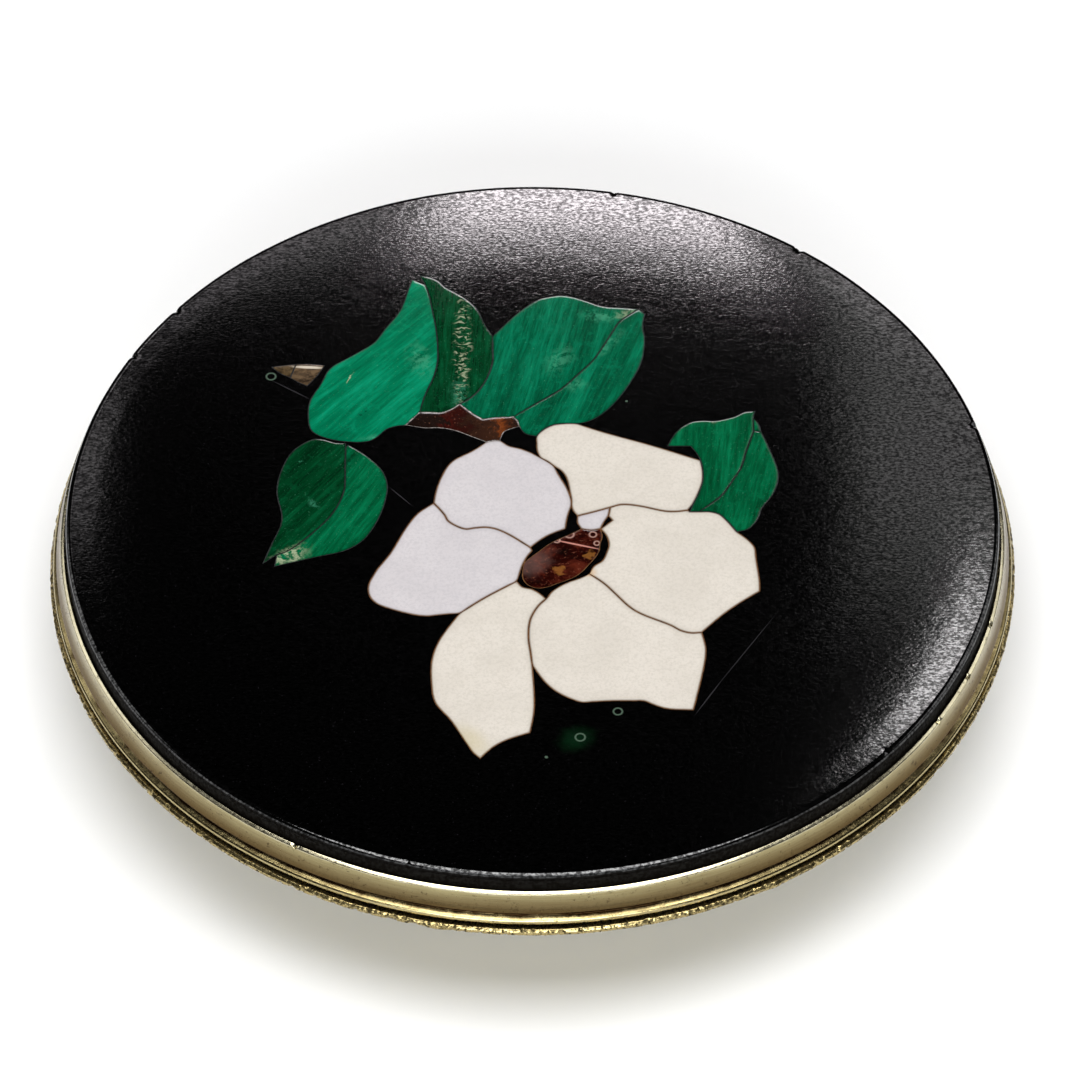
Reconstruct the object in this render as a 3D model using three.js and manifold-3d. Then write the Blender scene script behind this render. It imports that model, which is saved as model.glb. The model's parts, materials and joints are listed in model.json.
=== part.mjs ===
// Round pill box: a black marble lid plaque inlaid with a white flower, malachite leaves and a jasper
// centre, held in a moulded gilt-metal bezel that is hinged to a shallow pressed metal base.
// Millimetres, +Z up. The origin is on the ground below the middle of the plaque; the hinge is at +Y.

import * as THREE from 'three';
import { mergeVertices } from 'three/addons/utils/BufferGeometryUtils.js';
import Module from 'manifold-3d';

const wasm = await Module();
wasm.setup();

// ---------------------------------------------------------------- driving dimensions

const SEGMENTS = 64; // facets round every turned part
const FIT = 0.05; // gap between parts that are soldered, pressed or glued together

const RIM_RADIUS = 25; // widest turned part: the rim of the base
const RIM_TOP = 7.6;
const RIM_BOTTOM = 7.15;
const BOWL_RADIUS = 24; // base bowl at its mouth
const BOWL_FOOT_RADIUS = 17; // flat ring that the box stands on
const BOWL_WALL = 0.85; // at the mouth
const BOWL_FLOOR = 0.75;
const FLANGE_RADIUS = 23.1; // locating ring that the lid closes over
const FLANGE_WALL = 0.4;
const FLANGE_TOP = 8.9;
const FLANGE_BOTTOM = 6.4;

const LID_BOTTOM = 7.85; // leaves a 0.25 seam above the rim
const LEDGE_HEIGHT = 9.35; // ledge inside the bezel that carries the plaque
const SKIRT_INNER_RADIUS = 23.4;
const BEAD_RADIUS = 24.81;
const BEAD_SIZE = 0.18; // radius of the bead's half-round section
const GROOVE_RADIUS = 24.45;
const BAND_RADIUS = 24.62; // foot of the hollow band
const LIP_RADIUS = 24.34; // outside of the lip
const LIP_TOP = 9.78;

const SLAB_RADIUS = 24.05;
const SLAB_BOTTOM = LEDGE_HEIGHT + FIT;
const SLAB_TOP = 11;
const FLAT_RADIUS = 19.4; // the top is flat inside this radius
const ARRIS_RADIUS = 23.8; // where the pillowed edge turns down
const ARRIS_HEIGHT = 10.88;

const INLAY_DEPTH = 0.8; // depth of the recesses in the slab
const RECESS_GROWTH = 0.02; // recesses are this much larger than the drawn lines
const STONE_SHRINK = 0.04; // stones are this much smaller, which leaves the glue lines
const SAMPLE_STEP = 0.55; // length of one straight step along a drawn line

const LINER_RADIUS = 22.2;
const LINER_SHEET = 0.25;
const LINER_BOTTOM = 8.2;
const LINER_FLANGE_RADIUS = SKIRT_INNER_RADIUS - FIT;
const BACKING_RADIUS = 21.85;

const HINGE_Y = 25.7;
const HINGE_Z = 7.8;
const HINGE_WIDTH = 6.5;
const KNUCKLE_RADIUS = 0.6;
const KNUCKLE_GAP = 0.15;
const KNUCKLES = 5;
const PIN_RADIUS = 0.3;
const PIN_CLEARANCE = 0.06;
const PIN_OVERHANG = 0.1;
const TAB_THICKNESS = 0.4;
const BASE_LEAF_TOP = 7.1;
const BASE_LEAF_BOTTOM = 6.55;
const LID_LEAF_BOTTOM = 8.26;
const LID_LEAF_TOP = 8.8;

const COLOURS = {
  gilt: { color: 0xb9a983, roughness: 0.35, metalness: 1 },
  giltPlain: { color: 0xc9b98f, roughness: 0.3, metalness: 1 },
  marble: { color: 0x0c0b0d, roughness: 0.4, metalness: 0 },
  slate: { color: 0x3a3c3e, roughness: 0.8, metalness: 0 },
  malachite: { color: 0x067043, roughness: 0.35, metalness: 0 },
  malachiteLight: { color: 0x0a9469, roughness: 0.35, metalness: 0 },
  whiteCool: { color: 0xe1dce2, roughness: 0.45, metalness: 0 },
  whiteWarm: { color: 0xe4e0d7, roughness: 0.45, metalness: 0 },
  jasper: { color: 0x4a1a10, roughness: 0.35, metalness: 0 },
  chalcedony: { color: 0x8a7352, roughness: 0.4, metalness: 0 },
};

// ---------------------------------------------------------------- the inlay drawing

// The lines of the picture, seen from above, in millimetres from the middle of the plaque. Each line
// runs smoothly through its points, and lines meet at corners. Neighbouring stones share a line.
const LINES = {
  // Malachite leaf A, two halves on the far left.
  leafAVein: [
    [-5.9, 7.1], [-5.6, 8.4], [-5.2, 9.6], [-5, 10.7], [-5, 12], [-5.1, 13.2], [-5.3, 14.5],
    [-5.5, 15.7], [-5.7, 16.4],
  ],
  leafALeftTip: [[-5.7, 16.4], [-6.4, 16.8]],
  leafALeftEdge: [
    [-6.4, 16.8], [-6.6, 16], [-7, 14.5], [-7.8, 13.1], [-8.3, 12.2], [-9.6, 11.1], [-10.6, 10.3],
    [-11.1, 9.1], [-11.6, 8], [-11.7, 6.9], [-11.5, 5.8], [-10.8, 5.3], [-9.5, 5], [-8.4, 5.1],
    [-7.6, 5.9],
  ],
  leafALeftFoot: [[-7.6, 5.9], [-7.4, 6.1], [-6.9, 6.1], [-6.6, 6.2]],
  leafALeftBranch: [[-6.6, 6.2], [-6.3, 6.6], [-5.9, 7.1]],
  leafARightTip: [[-5.7, 16.4], [-6, 17.1]],
  leafARightEdge: [
    [-6, 17.1], [-5.6, 17], [-5.2, 16.9], [-4.6, 16.2], [-3.8, 15.6], [-3, 14.7], [-2.5, 13.4],
    [-2.1, 12.6],
  ],
  leafALeafB: [[-2.1, 12.6], [-2.1, 11.6], [-2.1, 10.7], [-2.5, 9.3], [-3.1, 8.3], [-3.8, 7.7]],
  leafARightBranch: [[-3.8, 7.7], [-4.4, 7.2], [-4.6, 7.1], [-5.2, 7.1], [-5.9, 7.1]],
  // Malachite leaf B, two halves at the far side.
  leafBUpperEdge: [
    [-2.1, 12.6], [-1.5, 13.4], [-0.7, 14.4], [0.3, 15.3], [0.9, 15.5], [1.6, 15.6], [2.6, 15.3],
    [3.7, 14.8], [4.7, 14.7], [5.6, 14.6],
  ],
  leafBVein: [
    [5.6, 14.6], [4.6, 13.7], [4.2, 12.9], [3.2, 10.9], [2.5, 10], [1.5, 8.8], [0, 7.6], [-1, 6.8],
  ],
  leafBUpperBranch: [[-1, 6.8], [-2.1, 6.7], [-2.6, 6.6], [-3, 6.9], [-3.8, 7.7]],
  leafBLowerEdge: [
    [5.6, 14.6], [5.9, 14.4], [5.8, 13.4], [5.9, 12.3], [5.7, 10.7], [5, 9], [4, 7.4], [3, 6.5],
    [2.3, 6.3],
  ],
  leafBTopPetal: [[2.3, 6.3], [1.5, 6.3], [0.8, 6.1], [0.5, 5.8], [0.2, 5.4]],
  leafBFoot: [[0.2, 5.4], [-0.1, 5.5], [-0.4, 5.6], [-0.7, 6.1]],
  leafBLowerBranch: [[-0.7, 6.1], [-0.8, 6.5], [-1, 6.8]],
  // Malachite leaf C, two halves and a small tip, on the right.
  leafCLeftEdge: [
    [7, 4.7], [7.3, 5.4], [7.7, 6], [8.5, 6.5], [9.5, 6.5], [10.5, 6.8], [11.2, 7.2], [11.6, 7.2],
  ],
  leafCLeftTip: [[11.6, 7.2], [11.5, 6.7]],
  leafCVeinTip: [[11.5, 6.7], [11.5, 5.8]],
  leafCVein: [[11.5, 5.8], [11.1, 4.4], [10.8, 3.2], [10.3, 2.2], [9.8, 1.3], [8.6, 0.1]],
  leafCLeftPetal: [[8.6, 0.1], [8.1, 0.1]],
  leafCLeftFoot: [[8.3, 0.7], [8.1, 0.1]],
  leafCTopPetal: [[8.7, 3.7], [8.8, 3.1], [8.8, 2.3], [8.6, 1.5], [8.3, 0.7]],
  leafCNotchSide: [[8.7, 3.7], [8.5, 4.2], [8.2, 4.7]],
  leafCNotchFloor: [[8.2, 4.7], [7.6, 4.7], [7, 4.7]],
  leafCTipEdge: [[11.5, 6.7], [11.8, 6.2], [11.9, 5.7]],
  leafCTipJoint: [[11.9, 5.7], [11.5, 5.8]],
  leafCRightEdge: [
    [11.9, 5.7], [12.3, 4.5], [12.7, 3], [12.7, 2.3], [12.4, 1.3], [11.8, 0.3], [11.6, -0.4],
    [11.1, -1.1], [10.5, -1.3],
  ],
  leafCRightPetal: [[8.6, 0.1], [9.1, 0.1], [9.5, 0], [9.9, -0.4], [10.5, -1.3]],
  // Malachite leaf D, two halves on the left.
  leafDLeftEdge: [
    [-13.8, -3.5], [-13.4, -2.2], [-12.9, -0.5], [-13.2, 1.5], [-13, 3], [-12.4, 4.4], [-11.4, 5.2],
    [-10.9, 5.2], [-10.5, 5], [-9.7, 4.9],
  ],
  leafDLeftTop: [[-9.7, 4.9], [-9.7, 4.6]],
  leafDVein: [
    [-9.7, 4.6], [-9.7, 3], [-9.7, 1.8], [-9.9, 0.9], [-10.4, -0.2], [-11.4, -1.5], [-12.5, -2.6],
    [-13.1, -2.9],
  ],
  leafDLeftTip: [[-13.1, -2.9], [-13.8, -3.5]],
  leafDRightTop: [[-9.7, 4.6], [-9.6, 4.8]],
  leafDRightEdge: [
    [-9.6, 4.8], [-9.3, 4.6], [-8.5, 3.9], [-7.8, 3], [-7.5, 2], [-7.6, 0.8], [-8, -0.6],
    [-8.7, -1.9], [-9.6, -2.6], [-10.9, -3], [-11.9, -3.3], [-13.2, -3.7],
  ],
  leafDRightTip: [[-13.2, -3.7], [-13.1, -2.9]],
  // Jasper branch between the leaves and the flower, and the cut twig in two pieces.
  branchEnd: [[-0.7, 6.1], [-1.2, 5.9], [-1.5, 5.7]],
  branchStep: [[-1.5, 5.7], [-1.6, 5.4], [-1.7, 5.1]],
  branchUpperLeftPetal: [[-1.7, 5.1], [-2.1, 5.1], [-2.4, 5]],
  branchUnderside: [[-2.4, 5], [-3, 5.3], [-4, 5.8], [-4.8, 6], [-5.6, 6], [-6.6, 6.2]],
  twigTipTop: [[-13.7, 10.4], [-13.1, 10.5], [-12.4, 10.6]],
  twigJoint: [[-12.4, 10.6], [-12.7, 9.6]],
  twigTipUnderside: [[-12.7, 9.6], [-13.2, 9.9], [-13.7, 10.4]],
  twigEndTop: [[-12.4, 10.6], [-11.7, 10.6], [-10.9, 10.5]],
  twigEndCut: [[-10.9, 10.5], [-11.3, 9.7], [-11.8, 9]],
  twigEndUnderside: [[-11.8, 9], [-12.3, 9.3], [-12.7, 9.6]],
  // White petals, clockwise from the far one.
  topPetalFarEdge: [[2.3, 6.3], [3.7, 5.7], [6.1, 4.8], [8.7, 3.7]],
  topPetalCorner: [[8.3, 0.7], [8.2, 0.5], [8, 0.2]],
  topPetalRightPetal: [[8, 0.2], [7.1, 0.1], [6.2, 0.3], [5.5, 0.5], [4.6, 0.6], [4, 0.4]],
  topPetalSliver: [[4, 0.4], [3.2, 0.1], [2.3, -0.2]],
  topPetalFoot: [[2.3, -0.2], [2.1, 0.1], [2, 0.5]],
  topPetalTouch: [[2, 0.5], [2, 0.9]],
  topPetalHollow: [[2, 0.9], [1.8, 2.2], [1.6, 2.8], [1.1, 3.3]],
  topPetalUpperLeft: [[1.1, 3.3], [0.8, 3.6], [0.4, 3.9]],
  topPetalShoulder: [[0.4, 3.9], [0.2, 4.5], [0.2, 5], [0.2, 5.4]],
  rightPetalCorner: [[8, 0.2], [8.1, 0.1]],
  rightPetalShoulder: [[10.5, -1.3], [11.1, -1.9], [11.4, -2.4]],
  rightPetalEdge: [[11.4, -2.4], [11.5, -3.6], [11.6, -4.6], [11.6, -5.4]],
  rightPetalHem: [[11.6, -5.4], [10.7, -6.1], [9.8, -6.9], [8.6, -8.2]],
  rightPetalCentre: [[2.9, -4.2], [3, -3.8], [3.5, -3.4], [3.8, -2.7], [3.9, -1.9], [3.5, -1.1]],
  rightPetalNotchA: [[3.5, -1.1], [3.8, -0.8], [4.1, -0.5]],
  rightPetalNotchB: [[4.1, -0.5], [3.9, -0.2]],
  rightPetalSliver: [[3.9, -0.2], [4, 0.4]],
  lowerRightRight: [
    [8.6, -8.2], [7.8, -8.2], [7, -7.7], [5.2, -6.7], [4.1, -5.4], [3.6, -4.8], [2.9, -4.2],
  ],
  lowerRightEdge: [[8.1, -13.4], [8.3, -12.5], [8.8, -9.4], [8.6, -8.2]],
  lowerRightHemEnd: [[5.6, -12.8], [6.7, -13.3], [8.1, -13.4]],
  lowerRightHem: [[2.5, -12.9], [4, -12.8], [5.6, -12.8]],
  lowerRightInnerEdge: [[0, -10.4], [0.4, -11.2], [1, -12], [1.8, -12.6], [2.5, -12.9]],
  lowerRightCentre: [[2.9, -4.2], [2.6, -4.4], [1.6, -4.9], [1, -5.4], [0.7, -5.9]],
  lowerLeftLowerRight: [[0.7, -5.9], [0.3, -6.4], [-0.1, -7.3], [-0.2, -8.5], [-0.1, -9.5], [0, -10.4]],
  lowerLeftCentre: [[-0.8, -4.7], [-0.5, -5.1], [0.1, -5.3], [0.7, -5.9]],
  lowerLeftInnerEdge: [[0, -10.4], [0.1, -12.1], [0.1, -13.5], [-0.1, -14.9]],
  lowerLeftHem: [[-0.1, -14.9], [-1.3, -15.4], [-2, -15.9], [-2.6, -16.6]],
  lowerLeftEdge: [
    [-2.6, -16.6], [-2.9, -16.3], [-3.3, -15.6], [-4.1, -14.1], [-4.9, -12.9], [-5.1, -11.6],
    [-5.1, -10.1], [-4.8, -8.9], [-4.2, -7.7], [-3.7, -6.9],
  ],
  leftLowerLeft: [[-0.8, -4.7], [-2.5, -5.9], [-3.7, -6.9]],
  leftEdge: [
    [-3.7, -6.9], [-4.6, -7], [-5.5, -7.1], [-7, -6.7], [-8.1, -6.1], [-8.4, -5.2], [-8, -4],
    [-7.3, -2.8], [-6.5, -1], [-5.9, 0], [-5.1, 0.7],
  ],
  leftPoint: [[-0.1, -2.4], [0, -2.6]],
  leftCentre: [[0, -2.6], [-0.4, -3.3], [-0.6, -4], [-0.8, -4.7]],
  upperLeftLeftA: [[-0.1, -2.4], [-1.2, -1.5], [-1.7, -1.2], [-2.2, -1], [-3.5, -1.1]],
  upperLeftLeftB: [[-3.5, -1.1], [-4.3, -0.6]],
  upperLeftLeftC: [[-4.3, -0.6], [-4.6, 0], [-5.1, 0.7]],
  upperLeftEdge: [[-5.1, 0.7], [-5, 1.5], [-4.7, 2.6], [-4.2, 3.6], [-3.1, 4.4], [-2.4, 5]],
  upperLeftShoulder: [[-1.7, 5.1], [-1, 4.6], [-0.5, 4.5], [0.4, 3.9]],
  upperLeftHollow: [[1.1, 3.3], [1.4, 2.6], [1.8, 1.7], [2, 0.9]],
  upperLeftFoot: [[2, 0.5], [1.8, -0.3], [1.7, -1.1]],
  upperLeftCentre: [[1.7, -1.1], [0.9, -1.5], [0.4, -1.9], [-0.1, -2.4]],
  // Small petal sliver and the jasper centre.
  sliverNotch: [[3.9, -0.2], [3.7, -0.6], [3.5, -1.1]],
  sliverCentre: [[3.5, -1.1], [3, -1.2], [2.5, -1.1]],
  sliverEdge: [[2.5, -1.1], [2.3, -0.7], [2.3, -0.2]],
  centreFarEdge: [[-0.5, -4], [-0.4, -3.4], [0.2, -2.8], [0.9, -2.1], [1.7, -1.6], [2.2, -1.3]],
  centreShoulder: [[2.2, -1.3], [2.5, -1.1]],
  centreNearEdge: [
    [3.5, -1.1], [3.6, -1.5], [3.5, -1.9], [3.4, -2.7], [3, -3.4], [2.3, -4.3], [1.2, -4.9],
    [0.4, -5.2], [-0.2, -5], [-0.5, -4.5], [-0.5, -4],
  ],
};

// Each stone's edge as a closed chain of lines. A leading minus follows the line backwards.
const STONES = {
  leaf_a_left: {
    colour: COLOURS.malachiteLight,
    edge: ['leafAVein', 'leafALeftTip', 'leafALeftEdge', 'leafALeftFoot', 'leafALeftBranch'],
  },
  leaf_a_right: {
    colour: COLOURS.malachite,
    edge: ['-leafAVein', '-leafARightBranch', '-leafALeafB', '-leafARightEdge', '-leafARightTip'],
  },
  leaf_b_upper: {
    colour: COLOURS.malachite,
    edge: ['leafALeafB', '-leafBUpperBranch', '-leafBVein', '-leafBUpperEdge'],
  },
  leaf_b_lower: {
    colour: COLOURS.malachite,
    edge: ['leafBVein', '-leafBLowerBranch', '-leafBFoot', '-leafBTopPetal', '-leafBLowerEdge'],
  },
  leaf_c_left: {
    colour: COLOURS.malachite,
    edge: [
      'leafCTopPetal', 'leafCLeftFoot', '-leafCLeftPetal', '-leafCVein', '-leafCVeinTip',
      '-leafCLeftTip', '-leafCLeftEdge', '-leafCNotchFloor', '-leafCNotchSide',
    ],
  },
  leaf_c_right: {
    colour: COLOURS.malachite,
    edge: ['leafCVein', 'leafCRightPetal', '-leafCRightEdge', 'leafCTipJoint'],
  },
  leaf_c_tip: {
    colour: COLOURS.malachite,
    edge: ['leafCVeinTip', '-leafCTipJoint', '-leafCTipEdge'],
  },
  leaf_d_left: {
    colour: COLOURS.malachite,
    edge: ['leafDLeftEdge', 'leafDLeftTop', 'leafDVein', 'leafDLeftTip'],
  },
  leaf_d_right: {
    colour: COLOURS.malachite,
    edge: ['leafDVein', '-leafDRightTip', '-leafDRightEdge', '-leafDRightTop'],
  },
  branch: {
    colour: COLOURS.jasper,
    edge: [
      'leafALeftBranch', '-leafARightBranch', '-leafBUpperBranch', '-leafBLowerBranch', 'branchEnd',
      'branchStep', 'branchUpperLeftPetal', 'branchUnderside',
    ],
  },
  twig_tip: {
    colour: COLOURS.chalcedony,
    edge: ['twigTipTop', 'twigJoint', 'twigTipUnderside'],
  },
  twig_end: {
    colour: COLOURS.chalcedony,
    edge: ['twigEndTop', 'twigEndCut', 'twigEndUnderside', '-twigJoint'],
  },
  petal_top: {
    colour: COLOURS.whiteWarm,
    edge: [
      'topPetalFarEdge', 'leafCTopPetal', 'topPetalCorner', 'topPetalRightPetal', 'topPetalSliver',
      'topPetalFoot', 'topPetalTouch', 'topPetalHollow', 'topPetalUpperLeft', 'topPetalShoulder',
      '-leafBTopPetal',
    ],
  },
  petal_upper_left: {
    colour: COLOURS.whiteCool,
    edge: [
      'upperLeftEdge', '-branchUpperLeftPetal', 'upperLeftShoulder', '-topPetalUpperLeft',
      'upperLeftHollow', '-topPetalTouch', 'upperLeftFoot', 'upperLeftCentre', 'upperLeftLeftA',
      'upperLeftLeftB', 'upperLeftLeftC',
    ],
  },
  petal_left: {
    colour: COLOURS.whiteCool,
    edge: [
      '-upperLeftLeftC', '-upperLeftLeftB', '-upperLeftLeftA', 'leftPoint', 'leftCentre',
      'leftLowerLeft', 'leftEdge',
    ],
  },
  petal_lower_left: {
    colour: COLOURS.whiteWarm,
    edge: [
      '-leftLowerLeft', 'lowerLeftCentre', 'lowerLeftLowerRight', 'lowerLeftInnerEdge',
      'lowerLeftHem', 'lowerLeftEdge',
    ],
  },
  petal_lower_right: {
    colour: COLOURS.whiteWarm,
    edge: [
      '-lowerRightCentre', '-lowerRightRight', '-lowerRightEdge', '-lowerRightHemEnd',
      '-lowerRightHem', '-lowerRightInnerEdge', '-lowerLeftLowerRight',
    ],
  },
  petal_right: {
    colour: COLOURS.whiteWarm,
    edge: [
      '-topPetalRightPetal', 'rightPetalCorner', '-leafCLeftPetal', 'leafCRightPetal',
      'rightPetalShoulder', 'rightPetalEdge', 'rightPetalHem', 'lowerRightRight',
      'rightPetalCentre', 'rightPetalNotchA', 'rightPetalNotchB', 'rightPetalSliver',
    ],
  },
  petal_sliver: {
    colour: COLOURS.whiteCool,
    edge: ['-topPetalSliver', '-rightPetalSliver', 'sliverNotch', 'sliverCentre', 'sliverEdge'],
  },
  jasper_centre: {
    colour: COLOURS.jasper,
    edge: ['centreFarEdge', 'centreShoulder', '-sliverCentre', 'centreNearEdge'],
  },
};

// ---------------------------------------------------------------- helpers

const pill_box = new THREE.Group();

function addPart(name, geometry, colour) {
  const mesh = new THREE.Mesh(geometry, new THREE.MeshStandardMaterial(colour));
  mesh.name = name;
  pill_box.add(mesh);
}

// A turned solid from [radius, height] points that follow its section anticlockwise.
function turn(profile) {
  const points = profile.map(([radius, height]) => new THREE.Vector2(radius, height));
  const geometry = new THREE.LatheGeometry(points, SEGMENTS);
  return geometry.rotateX(Math.PI / 2);
}

function arcPoints(centre, radius, fromDegrees, toDegrees, steps) {
  const points = [];
  for (let step = 0; step <= steps; step += 1) {
    const angle = THREE.MathUtils.degToRad(fromDegrees + ((toDegrees - fromDegrees) * step) / steps);
    points.push([centre[0] + radius * Math.cos(angle), centre[1] + radius * Math.sin(angle)]);
  }
  return points;
}

function bezierPoints(start, control, end, steps) {
  const curve = new THREE.QuadraticBezierCurve(
    new THREE.Vector2(...start),
    new THREE.Vector2(...control),
    new THREE.Vector2(...end),
  );
  return curve.getPoints(steps).map((point) => [point.x, point.y]);
}

// A straight-sided solid over an outline of Vector2 points.
function prism(outline, bottom, top) {
  const geometry = new THREE.ExtrudeGeometry(new THREE.Shape(outline), {
    depth: top - bottom,
    bevelEnabled: false,
  });
  return geometry.translate(0, 0, bottom);
}

function toManifold(geometry) {
  const bare = geometry.clone();
  bare.deleteAttribute('normal');
  bare.deleteAttribute('uv');
  const merged = mergeVertices(bare, 1e-5);
  const index = merged.getIndex().array;
  const corners = [];
  for (let i = 0; i < index.length; i += 3) {
    const [a, b, c] = index.slice(i, i + 3);
    if (a !== b && b !== c && c !== a) corners.push(a, b, c);
  }
  return new wasm.Manifold(
    new wasm.Mesh({
      numProp: 3,
      vertProperties: new Float32Array(merged.getAttribute('position').array),
      triVerts: new Uint32Array(corners),
    }),
  );
}

function toGeometry(solid) {
  const mesh = solid.getMesh();
  const geometry = new THREE.BufferGeometry();
  geometry.setAttribute('position', new THREE.BufferAttribute(mesh.vertProperties, 3));
  geometry.setIndex(new THREE.BufferAttribute(mesh.triVerts, 1));
  geometry.computeVertexNormals();
  return geometry;
}

function join(geometries) {
  return geometries.map(toManifold).reduce((whole, piece) => whole.add(piece));
}

// ---------------------------------------------------------------- outlines of the stones

function sampleLine(points) {
  const curve = new THREE.CatmullRomCurve3(
    points.map(([x, y]) => new THREE.Vector3(x, y, 0)),
    false,
    'centripetal',
  );
  const straight = points.length === 2;
  const steps = straight ? 1 : Math.max(2, Math.round(curve.getLength() / SAMPLE_STEP));
  return curve.getSpacedPoints(steps).map((point) => new THREE.Vector2(point.x, point.y));
}

function stoneOutline(edge) {
  const outline = [];
  for (const entry of edge) {
    const backwards = entry.startsWith('-');
    const line = sampleLine(LINES[backwards ? entry.slice(1) : entry]);
    if (backwards) line.reverse();
    outline.push(...line.slice(0, -1));
  }
  return THREE.ShapeUtils.area(outline) > 0 ? outline : outline.reverse();
}

// Moves an anticlockwise outline inwards by a distance, or outwards when it is negative.
function insetOutline(outline, distance) {
  const longestMitre = 2.5;
  return outline.map((point, i) => {
    const before = outline[(i + outline.length - 1) % outline.length];
    const after = outline[(i + 1) % outline.length];
    const arriving = point.clone().sub(before).normalize();
    const leaving = after.clone().sub(point).normalize();
    const inward = new THREE.Vector2(-arriving.y - leaving.y, arriving.x + leaving.x).normalize();
    const cosine = inward.y * arriving.x - inward.x * arriving.y;
    const mitre = Math.min(1 / cosine, longestMitre);
    return point.clone().addScaledVector(inward, distance * mitre);
  });
}

// ---------------------------------------------------------------- base

function bowl() {
  const outside = bezierPoints([BOWL_FOOT_RADIUS, 0], [20.6, 1.6], [BOWL_RADIUS, RIM_BOTTOM], 6);
  const mouth = BOWL_RADIUS - BOWL_WALL;
  const inside = bezierPoints(
    [mouth, FLANGE_BOTTOM - FIT],
    [20, 2.1],
    [BOWL_FOOT_RADIUS - 0.4, BOWL_FLOOR],
    6,
  );
  const geometry = turn([
    [0, 0],
    ...outside,
    [BOWL_RADIUS, RIM_TOP],
    [mouth, RIM_TOP],
    ...inside,
    [0, BOWL_FLOOR],
  ]);
  // Turned by half a facet, so that no corner of the foot lies on the X or Y axis.
  return geometry.rotateZ(Math.PI / SEGMENTS);
}

function flange() {
  const inner = FLANGE_RADIUS - FLANGE_WALL;
  return turn([
    [inner, FLANGE_BOTTOM],
    [FLANGE_RADIUS, FLANGE_BOTTOM],
    [FLANGE_RADIUS, FLANGE_TOP - 0.15],
    [FLANGE_RADIUS - 0.15, FLANGE_TOP],
    [inner, FLANGE_TOP],
    [inner, FLANGE_BOTTOM],
  ]);
}

function rim() {
  const inner = BOWL_RADIUS + FIT;
  return turn([
    [inner, RIM_BOTTOM],
    [RIM_RADIUS - 0.2, RIM_BOTTOM],
    [RIM_RADIUS, RIM_BOTTOM + 0.15],
    [RIM_RADIUS, RIM_TOP - 0.12],
    [RIM_RADIUS - 0.12, RIM_TOP],
    [inner, RIM_TOP],
    [inner, RIM_BOTTOM],
  ]);
}

// ---------------------------------------------------------------- lid

function bezel() {
  const beadCentre = [BEAD_RADIUS - BEAD_SIZE, LID_BOTTOM + BEAD_SIZE];
  const lipInner = SLAB_RADIUS + 0.08;
  return turn([
    [SKIRT_INNER_RADIUS, LID_BOTTOM],
    ...arcPoints(beadCentre, BEAD_SIZE, -90, 90, 6),
    [GROOVE_RADIUS, LID_BOTTOM + 0.42],
    [GROOVE_RADIUS + 0.03, LID_BOTTOM + 0.6],
    ...bezierPoints([BAND_RADIUS, LID_BOTTOM + 0.72], [24.36, 8.95], [LIP_RADIUS, LIP_TOP - 0.12], 4),
    [LIP_RADIUS - 0.06, LIP_TOP],
    [lipInner + 0.04, LIP_TOP],
    [lipInner, LIP_TOP - 0.05],
    [lipInner, LEDGE_HEIGHT],
    [SKIRT_INNER_RADIUS, LEDGE_HEIGHT],
    [SKIRT_INNER_RADIUS, LID_BOTTOM],
  ]);
}

function slabBlank() {
  return turn([
    [0, SLAB_BOTTOM],
    [SLAB_RADIUS - 0.15, SLAB_BOTTOM],
    [SLAB_RADIUS, SLAB_BOTTOM + 0.15],
    [SLAB_RADIUS, ARRIS_HEIGHT - 0.22],
    [SLAB_RADIUS - 0.07, ARRIS_HEIGHT - 0.06],
    ...bezierPoints([ARRIS_RADIUS, ARRIS_HEIGHT], [22, SLAB_TOP], [FLAT_RADIUS, SLAB_TOP], 3),
    [0, SLAB_TOP],
  ]);
}

function slab(outlines) {
  const recesses = outlines.map((outline) =>
    prism(insetOutline(outline, -RECESS_GROWTH), SLAB_TOP - INLAY_DEPTH, SLAB_TOP + 1),
  );
  return toGeometry(toManifold(slabBlank()).subtract(join(recesses)));
}

function liner() {
  const inside = LINER_RADIUS - LINER_SHEET;
  const flangeTop = LEDGE_HEIGHT - FIT;
  return turn([
    [0, LINER_BOTTOM],
    [LINER_RADIUS - 0.2, LINER_BOTTOM],
    [LINER_RADIUS, LINER_BOTTOM + 0.2],
    [LINER_RADIUS, flangeTop - LINER_SHEET],
    [LINER_FLANGE_RADIUS, flangeTop - LINER_SHEET],
    [LINER_FLANGE_RADIUS, flangeTop],
    [inside, flangeTop],
    [inside, LINER_BOTTOM + LINER_SHEET],
    [0, LINER_BOTTOM + LINER_SHEET],
  ]);
}

function backing() {
  const bottom = LINER_BOTTOM + LINER_SHEET + FIT;
  return turn([
    [0, bottom],
    [BACKING_RADIUS, bottom],
    [BACKING_RADIUS, LEDGE_HEIGHT],
    [0, LEDGE_HEIGHT],
  ]);
}

// ---------------------------------------------------------------- hinge

function cylinderAlongX(radius, fromX, toX) {
  const geometry = new THREE.CylinderGeometry(radius, radius, toX - fromX, 24);
  geometry.rotateZ(Math.PI / 2);
  return geometry.translate((fromX + toX) / 2, HINGE_Y, HINGE_Z);
}

// The x range of each knuckle, alternately the base's and the lid's.
function knuckleSpan(index) {
  const pitch = (HINGE_WIDTH + KNUCKLE_GAP) / KNUCKLES;
  const fromX = -HINGE_WIDTH / 2 + index * pitch;
  return [fromX, fromX + pitch - KNUCKLE_GAP];
}

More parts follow.
